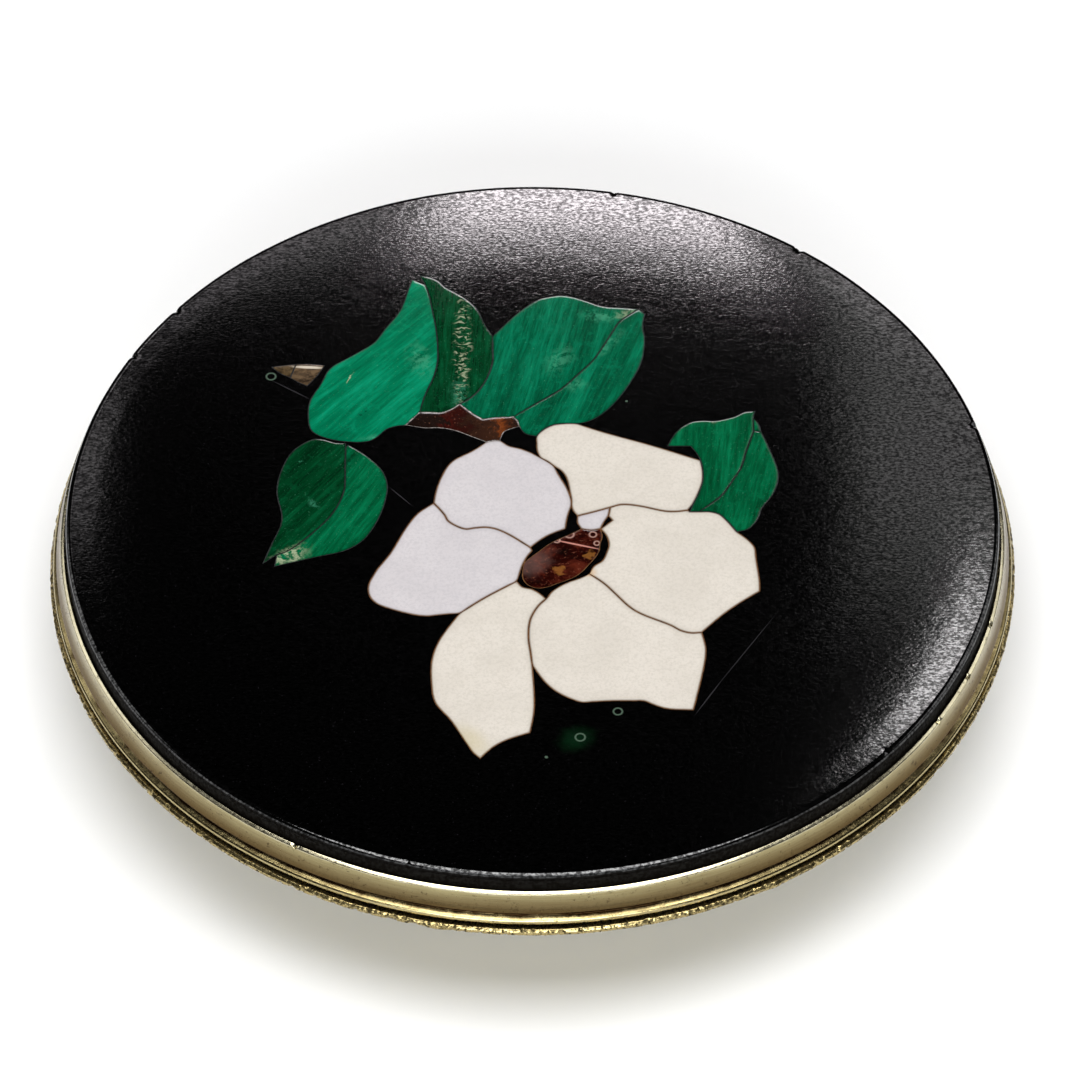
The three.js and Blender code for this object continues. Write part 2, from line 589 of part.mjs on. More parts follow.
// A strip that follows the round wall for the width of the hinge.
function curvedStrip(innerRadius, outerRadius, bottom, top) {
  const half = HINGE_WIDTH / 2;
  const strip = [];
  for (const [radius, direction] of [[innerRadius, -1], [outerRadius, 1]]) {
    const reach = Math.asin(half / radius);
    for (let step = 0; step <= 8; step += 1) {
      const angle = direction * reach * (1 - step / 4);
      strip.push(new THREE.Vector2(radius * Math.sin(angle), radius * Math.cos(angle)));
    }
  }
  return prism(THREE.ShapeUtils.area(strip) > 0 ? strip : strip.reverse(), bottom, top);
}

function block([fromX, toX], [fromY, toY], [bottom, top]) {
  const geometry = new THREE.BoxGeometry(toX - fromX, toY - fromY, top - bottom);
  return geometry.translate((fromX + toX) / 2, (fromY + toY) / 2, (bottom + top) / 2);
}

// Each of a leaf's knuckles stands on blocks given by their ranges in Y and Z.
function hingeLeaf(firstKnuckle, strip, blocks) {
  const pieces = [strip];
  for (let index = firstKnuckle; index < KNUCKLES; index += 2) {
    const span = knuckleSpan(index);
    pieces.push(cylinderAlongX(KNUCKLE_RADIUS, ...span));
    for (const [rangeY, rangeZ] of blocks) {
      pieces.push(block(span, rangeY, rangeZ));
    }
  }
  const bore = cylinderAlongX(PIN_RADIUS + PIN_CLEARANCE, -HINGE_WIDTH, HINGE_WIDTH);
  return toGeometry(join(pieces).subtract(toManifold(bore)));
}

function baseHinge() {
  const strip = curvedStrip(BOWL_RADIUS + FIT, RIM_RADIUS - 0.1, BASE_LEAF_BOTTOM, BASE_LEAF_TOP);
  const bottom = BASE_LEAF_TOP - TAB_THICKNESS;
  return hingeLeaf(0, strip, [
    [[24.3, HINGE_Y + 0.25], [bottom, BASE_LEAF_TOP]],
    [[HINGE_Y - 0.35, HINGE_Y + 0.25], [bottom, HINGE_Z]],
  ]);
}

function lidHinge() {
  const strip = curvedStrip(BAND_RADIUS + FIT, RIM_RADIUS + 0.15, LID_LEAF_BOTTOM, LID_LEAF_TOP);
  const top = HINGE_Z + KNUCKLE_RADIUS;
  return hingeLeaf(1, strip, [[[24.86, HINGE_Y], [top - TAB_THICKNESS, top]]]);
}

function pin() {
  const reach = HINGE_WIDTH / 2 + PIN_OVERHANG;
  return cylinderAlongX(PIN_RADIUS, -reach, reach);
}

// ---------------------------------------------------------------- assembly

addPart('base_bowl', bowl(), COLOURS.giltPlain);
addPart('base_flange', flange(), COLOURS.giltPlain);
addPart('base_rim', rim(), COLOURS.gilt);
addPart('base_hinge_leaf', baseHinge(), COLOURS.gilt);
addPart('hinge_pin', pin(), COLOURS.giltPlain);

const outlines = Object.values(STONES).map((stone) => stoneOutline(stone.edge));

addPart('bezel_ring', bezel(), COLOURS.gilt);
addPart('marble_slab', slab(outlines), COLOURS.marble);
addPart('backing_disc', backing(), COLOURS.slate);
addPart('lid_liner', liner(), COLOURS.giltPlain);
addPart('lid_hinge_leaf', lidHinge(), COLOURS.gilt);

Object.entries(STONES).forEach(([name, stone], i) => {
  const outline = insetOutline(outlines[i], STONE_SHRINK);
  addPart(name, prism(outline, SLAB_TOP - INLAY_DEPTH + FIT, SLAB_TOP), stone.colour);
});

export default pill_box;
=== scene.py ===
"""Looks for the inlaid pill box: refined stones and metalwork, materials, light and camera."""

import json
import math

import bmesh
import bpy
import numpy as np
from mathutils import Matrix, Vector, noise
from mathutils.geometry import delaunay_2d_cdt


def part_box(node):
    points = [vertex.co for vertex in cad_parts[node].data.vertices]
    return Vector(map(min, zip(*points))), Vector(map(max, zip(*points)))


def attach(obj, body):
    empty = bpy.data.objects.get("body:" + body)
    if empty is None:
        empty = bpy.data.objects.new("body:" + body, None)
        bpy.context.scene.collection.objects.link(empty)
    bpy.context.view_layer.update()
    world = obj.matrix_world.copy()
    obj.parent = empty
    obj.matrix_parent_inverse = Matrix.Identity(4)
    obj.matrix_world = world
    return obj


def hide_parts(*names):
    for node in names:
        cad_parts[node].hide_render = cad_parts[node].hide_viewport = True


MM = 0.001
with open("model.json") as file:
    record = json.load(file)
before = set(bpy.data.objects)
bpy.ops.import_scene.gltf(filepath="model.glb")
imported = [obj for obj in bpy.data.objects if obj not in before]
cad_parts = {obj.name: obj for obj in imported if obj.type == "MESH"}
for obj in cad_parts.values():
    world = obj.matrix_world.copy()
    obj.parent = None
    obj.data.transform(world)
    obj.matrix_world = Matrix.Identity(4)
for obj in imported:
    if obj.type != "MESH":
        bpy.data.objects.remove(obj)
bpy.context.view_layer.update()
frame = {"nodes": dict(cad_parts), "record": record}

# ---- driving sizes, in mm

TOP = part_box("marble_slab")[1].z / MM
FACE_LOWEST = TOP - 0.5  # points above this follow the face's dome
CHIPS_LOWEST = TOP - 0.75
SIDE_START = TOP - 0.36  # below this the slab's side turns matt
SIDE_FULL = TOP - 0.44

RECESS_DEPTH = 0.78
STONE_DEPTH = 0.7
CEMENT_DROP = 0.025
JOINT_REACH = 0.13  # how near a stone must be to name the joint beside it
STONE_EDGE_DROP = 0.004
STONE_EDGE_WIDTH = 0.1
EDGE_RINGS = (0.03, 0.06, 0.1)
OUTLINE_STEP = 0.14
GRID_STEP = 0.32
FACE_STEP = 0.6

DOME_START = 11.0
DOME_POWER = 2.8
CROWN_START = 19.4
CROWN_END = 23.8
CROWN_FALL = 0.12
EDGE_FALL = 0.22
ARRIS_OUT = 0.08

LIP_LOWEST = 9.7
LIP_SLOPE = 0.55
BEZEL_BOTTOM = 7.85
BEZEL_TOP = 9.85

SLAB_SEGMENTS = 1440
BEZEL_SEGMENTS = 1440
RIM_SEGMENTS = 2880
PLAIN_SEGMENTS = 360
AXIS = 1e-6
CORNER_TURN = math.radians(42)
SHARP = math.radians(40)

# Chips in the slab's edge: place round it in degrees, width in degrees, depth in mm.
CHIPS = ((15.5, 0.6, 0.08), (53.5, 0.7, 0.09), (54.2, 0.4, 0.05), (79.5, 0.5, 0.06), (142, 0.8, 0.09),
         (151.5, 0.6, 0.08), (203, 0.4, 0.03), (255, 0.5, 0.03), (318, 0.4, 0.03))
# Nicks in the bezel's lip: place in degrees, width in degrees, depth in mm.
NICKS = ((16, 0.5, 0.12), (241, 0.45, 0.13), (327.5, 0.5, 0.15), (335.5, 0.45, 0.12), (344.5, 0.5, 0.14))
# Lumps on the base rim: place in degrees, width in degrees, height in mm.
LUMPS = ((259, 2.2, 0.07), (299, 2.6, 0.08))

STONE_KINDS = ("leaf", "petal", "jasper", "branch", "twig")
SLOTS = {row["node"]: row["material_slot"] for row in frame["record"]["subparts"]}
STONES = [node for node in SLOTS if node.split("_")[0] in STONE_KINDS]
JOINT_KINDS = ("brown", "white", "grey", "dark")
# The way that the bands of each malachite leaf run, in degrees from +X.
BAND_DIRECTION = {
    "leaf_a_left": 48,
    "leaf_a_right": 88,
    "leaf_b_upper": 78,
    "leaf_b_lower": 70,
    "leaf_c_left": 84,
    "leaf_c_right": 78,
    "leaf_c_tip": 80,
    "leaf_d_left": 52,
    "leaf_d_right": 60,
}


# ---- reading the CAD nodes


def welded(node):
    """The node's points in mm with doubles merged, and its triangles as indices into them."""
    mesh = frame["nodes"][node].data
    mesh.calc_loop_triangles()
    keys, points, lookup = {}, [], []
    for vertex in mesh.vertices:
        key = tuple(round(c / MM, 4) for c in vertex.co)
        if key not in keys:
            keys[key] = len(points)
            points.append(Vector(key))
        lookup.append(keys[key])
    triangles = [[lookup[i] for i in triangle.vertices] for triangle in mesh.loop_triangles]
    return points, [t for t in triangles if len(set(t)) == 3]


def edges_of(triangle):
    return zip(triangle, triangle[1:] + triangle[:1])


def section(node):
    """A turned node's section as (radius, height) in order, from its lowest and innermost point."""
    points, triangles = welded(node)
    radii = [p.to_2d().length for p in points]
    angles = [math.atan2(p.y, p.x) for p in points]
    meridian = min((a for a, r in zip(angles, radii) if r > 0.1), key=abs)
    chosen = {i for i, r in enumerate(radii) if r < 0.001 or abs(angles[i] - meridian) < 0.0005}
    links = {i: set() for i in chosen}
    for triangle in triangles:
        for a, b in edges_of(triangle):
            if a in chosen and b in chosen:
                links[a].add(b)
                links[b].add(a)
    ends = [i for i in chosen if len(links[i]) == 1]
    start = min(ends or chosen, key=lambda i: (points[i].z, radii[i]))
    chain, onward = [start], sorted(links[start], key=lambda i: points[i].z)
    while onward:
        chain.append(onward[0])
        onward = [i for i in links[chain[-1]] if i not in chain]
    return [(radii[i], points[i].z) for i in chain]


def flat_loops(node, height):
    """The loops round the node's flat faces at one height, each as anticlockwise 2D points."""
    points, triangles = welded(node)
    count = {}
    for triangle in triangles:
        if all(abs(points[i].z - height) < 0.0005 for i in triangle):
            for a, b in edges_of(triangle):
                key = (min(a, b), max(a, b))
                count[key] = count.get(key, 0) + 1
    links = {}
    for (a, b), times in count.items():
        if times == 1:
            links.setdefault(a, []).append(b)
            links.setdefault(b, []).append(a)
    loops, used = [], set()
    for start in links:
        if start in used:
            continue
        chain, onward = [start], [links[start][0]]
        used.add(start)
        while onward:
            chain.append(onward[0])
            used.add(onward[0])
            onward = [i for i in links[chain[-1]] if i not in used]
        loops.append(anticlockwise(np.array([points[i].to_2d() for i in chain])))
    return loops


def anticlockwise(loop):
    after = np.roll(loop, -1, axis=0)
    area = np.sum(loop[:, 0] * after[:, 1] - after[:, 0] * loop[:, 1])
    return loop if area > 0 else loop[::-1]


# ---- outlines in the plane


def corner_flags(loop):
    """Which points of a loop turn too sharply to lie on a smooth curve."""
    before = loop - np.roll(loop, 1, axis=0)
    after = np.roll(loop, -1, axis=0) - loop
    cross = before[:, 0] * after[:, 1] - before[:, 1] * after[:, 0]
    dot = np.sum(before * after, axis=1)
    return np.abs(np.arctan2(cross, dot)) > CORNER_TURN


def refined(loop):
    """The loop at a fine, even step, curved through its smooth points and straight-ended at its corners."""
    corners = corner_flags(loop)
    count = len(loop)
    result = []
    for i in range(count):
        start, end = loop[i], loop[(i + 1) % count]
        chord = end - start
        length = np.linalg.norm(chord)
        out = chord if corners[i] else 0.5 * (end - loop[i - 1])
        into = chord if corners[(i + 1) % count] else 0.5 * (loop[(i + 2) % count] - start)
        out = out * length / max(np.linalg.norm(out), 1e-9)
        into = into * length / max(np.linalg.norm(into), 1e-9)
        steps = max(1, round(length / OUTLINE_STEP))
        for k in range(steps):
            t = k / steps
            result.append(
                (2 * t**3 - 3 * t**2 + 1) * start
                + (t**3 - 2 * t**2 + t) * out
                + (3 * t**2 - 2 * t**3) * end
                + (t**3 - t**2) * into
            )
    return np.array(result)


def edge_distance(points, loop):
    """The distance of each point from the nearest place on the loop."""
    start = loop[None, :, :]
    along = np.roll(loop, -1, axis=0)[None, :, :] - start
    offset = points[:, None, :] - start
    t = np.clip(np.sum(offset * along, axis=2) / np.maximum(np.sum(along**2, axis=2), 1e-12), 0, 1)
    return np.linalg.norm(offset - t[:, :, None] * along, axis=2).min(axis=1)


def inside(points, loops):
    """Whether each point lies within an odd number of the loops."""
    crossed = np.zeros(len(points), int)
    x, y = points[:, 0][:, None], points[:, 1][:, None]
    for loop in loops:
        x1, y1 = loop[:, 0][None, :], loop[:, 1][None, :]
        x2, y2 = np.roll(loop, -1, axis=0).T[:, None, :]
        spans = (y1 > y) != (y2 > y)
        rise = np.where(spans, y2 - y1, 1)
        crossed += np.sum(spans & (x < x1 + (x2 - x1) * (y - y1) / rise), axis=1)
    return crossed % 2 == 1


def triangulated(loops, extra=()):
    """Points and triangles that fill the plane between the loops, with extra points among them."""
    points, edges = [], []
    for loop in loops:
        first = len(points)
        points.extend(Vector(p) for p in loop)
        edges.extend((first + k, first + (k + 1) % len(loop)) for k in range(len(loop)))
    points.extend(Vector(p) for p in extra)
    verts, _, faces, *_ = delaunay_2d_cdt(points, edges, [], 0, 1e-7)
    return np.array([v[:] for v in verts]), np.array([f[:] for f in faces])


# ---- building meshes


def new_piece(name, vertices, faces, body, slot, *nodes):
    """A smooth piece from points in mm. It rides on a body and stands for CAD nodes."""
    mesh = bpy.data.meshes.new(name)
    mesh.from_pydata([tuple(c * MM for c in v) for v in vertices], [], [tuple(map(int, f)) for f in faces])
    mesh.validate()
    obj = bpy.data.objects.new(name, mesh)
    bpy.context.scene.collection.objects.link(obj)
    mesh.shade_smooth()
    mesh.set_sharp_from_angle(angle=SHARP)
    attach(obj, body)
    if nodes:
        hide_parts(*nodes)
    return obj


def rounded(profile, radius, closed=True, steps=3):
    """The section with each sharp corner cut by a small arc."""
    points = [Vector(p) for p in profile]
    result = []
    for i, here in enumerate(points):
        to_before = points[i - 1] - here
        to_after = points[(i + 1) % len(points)] - here
        is_end = not closed and i in (0, len(points) - 1)
        turn = math.pi - to_before.angle(to_after)
        if is_end or turn < math.radians(25):
            result.append(here[:])
            continue
        reach = min(radius * math.tan(turn / 2), 0.45 * to_before.length, 0.45 * to_after.length)
        start = here + to_before.normalized() * reach
        end = here + to_after.normalized() * reach
        for k in range(steps + 1):
            t = k / steps
            result.append(((1 - t) ** 2 * start + 2 * t * (1 - t) * here + t**2 * end)[:])
    return result


def subdivided(profile, step, closed=True):
    """The section with long sides split, so that wear has points to move."""
    result = []
    for i, start in enumerate(profile):
        last = i == len(profile) - 1
        if last and not closed:
            result.append(start)
            break
        start, end = Vector(start), Vector(profile[(i + 1) % len(profile)])
        parts = max(1, round((end - start).length / step))
        result.extend(start.lerp(end, k / parts)[:] for k in range(parts))
    return result


def turned(profile, segments, closed=True, wear=None):
    """Points and faces of a section turned round Z. wear(angles, radius, height) moves them out and up."""
    angles = np.arange(segments) * 2 * math.pi / segments
    vertices, rings = [], []
    for radius, height in profile:
        first = len(vertices)
        if radius < AXIS:
            vertices.append((0, 0, height))
            rings.append([first] * segments)
            continue
        out, up = wear(angles, radius, height) if wear else (0, 0)
        radii = radius + out + np.zeros(segments)
        heights = height + up + np.zeros(segments)
        vertices.extend(np.column_stack((radii * np.cos(angles), radii * np.sin(angles), heights)).tolist())
        rings.append(range(first, first + segments))
    faces = []
    for low, high in zip(rings, rings[1:] + rings[:1] if closed else rings[1:]):
        for j in range(segments):
            k = (j + 1) % segments
            face = tuple(dict.fromkeys((low[j], low[k], high[k], high[j])))
            if len(face) > 2:
                faces.append(face)
    return vertices, faces


def bumps_at(angles, places):
    """Smooth bumps round a ring, from rows of (degrees, width in degrees, size)."""
    total = np.zeros(len(angles))
    degrees = np.degrees(angles)
    for place, width, size in places:
        away = (degrees - place + 180) % 360 - 180
        total += size * np.exp(-((away / (0.5 * width)) ** 2))
    return total


def ring_noise(angles, radius, height, scale, seed=0.0):
    """Noise read round a ring, from -1 to 1."""
    return np.array([
        noise.noise((radius * math.cos(a) * scale, radius * math.sin(a) * scale, height * scale + seed))
        for a in angles
    ])


def point_attribute(obj, name, values, kind="FLOAT"):
    attribute = obj.data.attributes.new(name, kind, "POINT")
    field = "value" if kind == "FLOAT" else "vector"
    attribute.data.foreach_set(field, np.asarray(values, np.float32).ravel())


# ---- the marble slab


def slab_wear(angles, radius, height):
    """Chips that take the edge in and down, and a hand-ground waver of the side."""
    near_edge = math.exp(-((radius - 23.95) / 0.22) ** 2) * (height > CHIPS_LOWEST)
    chips = bumps_at(angles, CHIPS) * near_edge
    waver = 0.012 * ring_noise(angles, radius, 0, 0.25) if radius > 22 else 0
    return -0.8 * chips + waver, -0.9 * chips


def dome(radius):
    """How far the polished face curves down below the flat, in mm, towards the slab's edge."""
    return EDGE_FALL * np.clip((radius - DOME_START) / (CROWN_END - DOME_START), 0, 1) ** DOME_POWER


def domed(vertices):
    """The points with those near the face sunk by the dome."""
    vertices = np.array(vertices, float)
    above = vertices[:, 2] > FACE_LOWEST
    vertices[above, 2] -= dome(np.hypot(vertices[above, 0], vertices[above, 1]))
    return vertices.tolist()


def pillowed(profile):
    """The slab's section with its flat top and thin crown made one even curve, and a crisper edge."""
    result = []
    for radius, height in profile:
        if height > FACE_LOWEST:
            height += CROWN_FALL * np.clip((radius - CROWN_START) / (CROWN_END - CROWN_START), 0, 1) ** 2
            radius += ARRIS_OUT * (abs(radius - CROWN_END) < 0.01)
        result.append((radius, height))
    return result


def build_slab():
    profile = section("marble_slab")
    side = rounded(profile[:-3], 0.07, closed=False)[1:]
    crown = subdivided(pillowed(side + profile[-3:]), 0.16, closed=False)
    profile = profile[:1] + [(20, profile[0][1])] + crown[1:]
    vertices, faces = turned(profile, SLAB_SEGMENTS, closed=False, wear=slab_wear)
    circle = np.array(vertices[-SLAB_SEGMENTS:])[:, :2]
    recesses = recess_loops()
    points, triangles = triangulated([circle] + recesses, face_grid(recesses))
    sunk = inside(points[triangles].mean(axis=1), recesses)
    first = len(vertices)
    vertices += [(x, y, TOP) for x, y in points]
    vertices += [(x, y, TOP - RECESS_DEPTH) for x, y in points]
    faces += [tuple(t + first) for t in triangles[~sunk]]
    faces += [tuple(t + first + len(points)) for t in triangles[sunk]]
    low = first + len(points)
    for a, b in boundary(triangles[sunk]):
        faces.append((first + a, first + b, low + b, low + a))
    vertices = domed(vertices)
    slab = new_piece("honed_marble_slab", vertices, faces, "lid", "black_marble", "marble_slab")
    tidy(slab)
    return slab


def face_grid(recesses):
    """Points spread over the slab's flat face, clear of its edge and of the recesses' edges."""
    steps = np.arange(-CROWN_START, CROWN_START, FACE_STEP)
    x, y = np.meshgrid(steps, steps)
    grid = np.column_stack((x.ravel(), y.ravel()))
    grid = grid[np.hypot(grid[:, 0], grid[:, 1]) < CROWN_START - 0.3]
    away = np.min([edge_distance(grid, loop) for loop in recesses], axis=0)
    return grid[away > 0.2]


def recess_loops():
    loops = flat_loops("marble_slab", TOP)
    widest = max(np.abs(loop).max() for loop in loops)
    return [refined(loop) for loop in loops if np.abs(loop).max() < widest - 0.5]


def boundary(triangles):
    """The edges that only one of the triangles uses, in its own direction."""
    directed = {(t[k], t[(k + 1) % 3]) for t in triangles.tolist() for k in range(3)}
    return [(a, b) for a, b in directed if (b, a) not in directed]


def tidy(obj):
    """Joins doubled points, drops unused ones and makes the faces look outwards."""
    bm = bmesh.new()
    bm.from_mesh(obj.data)
    bmesh.ops.remove_doubles(bm, verts=bm.verts, dist=0.0005 * MM)
    bmesh.ops.delete(bm, geom=[v for v in bm.verts if not v.link_faces], context="VERTS")
    bmesh.ops.recalc_face_normals(bm, faces=bm.faces)
    bm.to_mesh(obj.data)
    bm.free()
    obj.data.set_sharp_from_angle(angle=SHARP)


# ---- the inlaid stones and their cement


def inset_points(loop):
    """Points in rings just inside a loop, and in a grid further in."""
    along = np.roll(loop, -1, axis=0) - np.roll(loop, 1, axis=0)
    along /= np.maximum(np.linalg.norm(along, axis=1, keepdims=True), 1e-9)
    inward = np.column_stack((-along[:, 1], along[:, 0]))
    found = []
    for depth in EDGE_RINGS:
        ring = loop + inward * depth
        keep = inside(ring, [loop]) & (edge_distance(ring, loop) > 0.9 * depth)
        found.append(ring[keep])
    low, high = loop.min(axis=0), loop.max(axis=0)
    x, y = np.meshgrid(np.arange(low[0], high[0], GRID_STEP), np.arange(low[1], high[1], GRID_STEP))
    x[::2] += 0.5 * GRID_STEP
    grid = np.column_stack((x.ravel(), y.ravel()))
    grid = grid[inside(grid, [loop])]
    if len(grid):
        found.append(grid[edge_distance(grid, loop) > EDGE_RINGS[-1] + 0.4 * GRID_STEP])
    return np.vstack(found)


def stone_heights(points, away, seed):
    """A stone's face: ground flush, softer at its edge, and wavering a little from hand polish."""
    near = np.clip(1 - away / STONE_EDGE_WIDTH, 0, 1)
    waver = np.array([noise.noise((x * 0.35, y * 0.35, seed)) for x, y in points])
    return TOP - STONE_EDGE_DROP * near**2 + 0.006 * waver


def build_stone(node, seed):
    loop = refined(flat_loops(node, TOP)[0])
    points, triangles = triangulated([loop], inset_points(loop))
    triangles = triangles[inside(points[triangles].mean(axis=1), [loop])]
    away = edge_distance(points, loop)
    heights = stone_heights(points, away, seed)
    count = len(points)
    vertices = np.column_stack((points, heights)).tolist()
    faces = [tuple(t) for t in triangles]
    rim = boundary(triangles)
    foot = {a: count + k for k, (a, _) in enumerate(rim)}
    vertices += [(*points[a], TOP - STONE_DEPTH) for a, _ in rim]
    vertices = domed(vertices)
    faces += [(b, a, foot[a], foot[b]) for a, b in rim]
    obj = new_piece("cut_" + node, vertices, faces, "lid", SLOTS[node], node)
    point_attribute(obj, "edge", np.concatenate((away, np.zeros(len(rim)))))
    turn = math.radians(BAND_DIRECTION.get(node, 0))
    flat = np.array(vertices)[:, :2]
    grain = np.column_stack((
        flat @ (math.cos(turn), math.sin(turn)),
        flat @ (-math.sin(turn), math.cos(turn)),
        np.full(len(flat), seed),
    ))
    point_attribute(obj, "grain", grain, "FLOAT_VECTOR")
    return obj, loop


def build_cement(loops):
    """The cement that fills the recesses round the stones, as one piece for each kind of joint."""
    recesses = recess_loops()
    points, triangles = triangulated(recesses + list(loops.values()))
    middles = points[triangles].mean(axis=1)
    keep = inside(middles, recesses)
    for loop in loops.values():
        keep &= ~inside(middles, [loop])
    triangles, middles = triangles[keep], middles[keep]
    names = list(loops)
    away = np.column_stack([edge_distance(middles, loops[name]) for name in names])
    pieces = {}
    for kind in JOINT_KINDS:
        chosen = np.array([joint_kind(row, names) == kind for row in away])
        if chosen.any():
            pieces[kind] = cement_piece(kind, points, triangles[chosen])
    return pieces


def joint_kind(distances, names):
    """What colour of cement lies beside the stones at these distances."""
    near = [names[i] for i in np.argsort(distances)[:2] if distances[i] < JOINT_REACH]
    # Beside the branch the joint is pale: partly white cement, partly a painted highlight standing for the
    # glints on the branch's edge.
    if "branch" in near:
        return "white"
    if near and all(name.startswith(("petal", "jasper")) for name in near):
        return "brown"
    if len(near) > 1 and near[0][:6] == near[1][:6]:
        return "dark"
    return "grey"


def cement_piece(kind, points, triangles):
    count = len(points)
    vertices = [(x, y, TOP - CEMENT_DROP) for x, y in points]
    vertices += [(x, y, TOP - STONE_DEPTH) for x, y in points]
    faces = [tuple(t) for t in triangles]
    faces += [tuple(t[::-1] + count) for t in triangles]
    faces += [(b, a, count + a, count + b) for a, b in boundary(triangles)]
    vertices = domed(vertices)
    piece = new_piece("cement_" + kind, vertices, faces, "lid", None)
    tidy(piece)
    return piece


# ---- the metalwork


def bezel_wear(angles, radius, height):
    """Small nicks in the lip, and the waver of a hand-closed setting."""
    nicks = bumps_at(angles, NICKS) if height > 9.55 else 0
    waver = ring_noise(angles, radius, 0, 0.3, 3.1)
    dents = ring_noise(angles, radius, height, 1.1, 7.7)
    return 0.012 * waver + 0.004 * dents, 0.008 * waver - nicks


def rim_wear(angles, radius, height):
    """The rough, pitted edge of the base rim."""
    if radius < 24.5:
        return 0, 0
    coarse = ring_noise(angles, radius, height, 1.3, 2.0)
    fine = ring_noise(angles, radius, height, 5.5, 5.0)
    pits = np.clip(ring_noise(angles, radius, height, 3.4, 9.0) - 0.12, 0, 1)
    out = 0.02 * coarse + 0.018 * fine - 0.16 * pits + bumps_at(angles, LUMPS) - 0.02
    return out, 0.012 * fine + 0.4 * bumps_at(angles, LUMPS)


def sloped_lip(profile):
    """The bezel's section with its lip worn to an outward slope."""
    inner = min(radius for radius, height in profile if height > LIP_LOWEST)
    return [(r, z - LIP_SLOPE * (r - inner) * (z > LIP_LOWEST)) for r, z in profile]


def build_turned(name, node, body, slot, segments, corner, step=None, wear=None, reshape=None):
    profile = section(node)
    if reshape:
        profile = reshape(profile)
    closed = profile[0][0] > 0.001
    profile = rounded(profile, corner, closed)
    if step:
        profile = subdivided(profile, step, closed)
    vertices, faces = turned(profile, segments, closed, wear)
    obj = new_piece(name, vertices, faces, body, slot, node)
    tidy(obj)
    return obj


def softened(name, node, body, slot, width):
    """A copy of a CAD node with its sharp edges rounded."""
    bm = bmesh.new()
    points, triangles = welded(node)
    verts = [bm.verts.new(p * MM) for p in points]
    for triangle in triangles:
        bm.faces.new([verts[i] for i in triangle])
    bmesh.ops.recalc_face_normals(bm, faces=bm.faces)
    flat = [e for e in bm.edges if e.calc_face_angle(0) < math.radians(1)]
    bmesh.ops.dissolve_edges(bm, edges=flat, use_verts=False)
    sharp = [e for e in bm.edges if e.calc_face_angle(0) > math.radians(35)]
    bmesh.ops.bevel(
        bm, geom=sharp, offset=width * MM, segments=2, profile=0.5, affect="EDGES", clamp_overlap=True
    )
    bm.verts.index_update()
    vertices = [tuple(v.co / MM) for v in bm.verts]
    faces = [[v.index for v in face.verts] for face in bm.faces]
    bm.free()
    return new_piece(name, vertices, faces, body, slot, node)


# ---- shader helpers


def paint(red, green, blue):
    """A linear colour from 0-255 screen values."""
    def linear(value):
        value /= 255
        return value / 12.92 if value < 0.04045 else ((value + 0.055) / 1.055) ** 2.4

    return (linear(red), linear(green), linear(blue), 1)


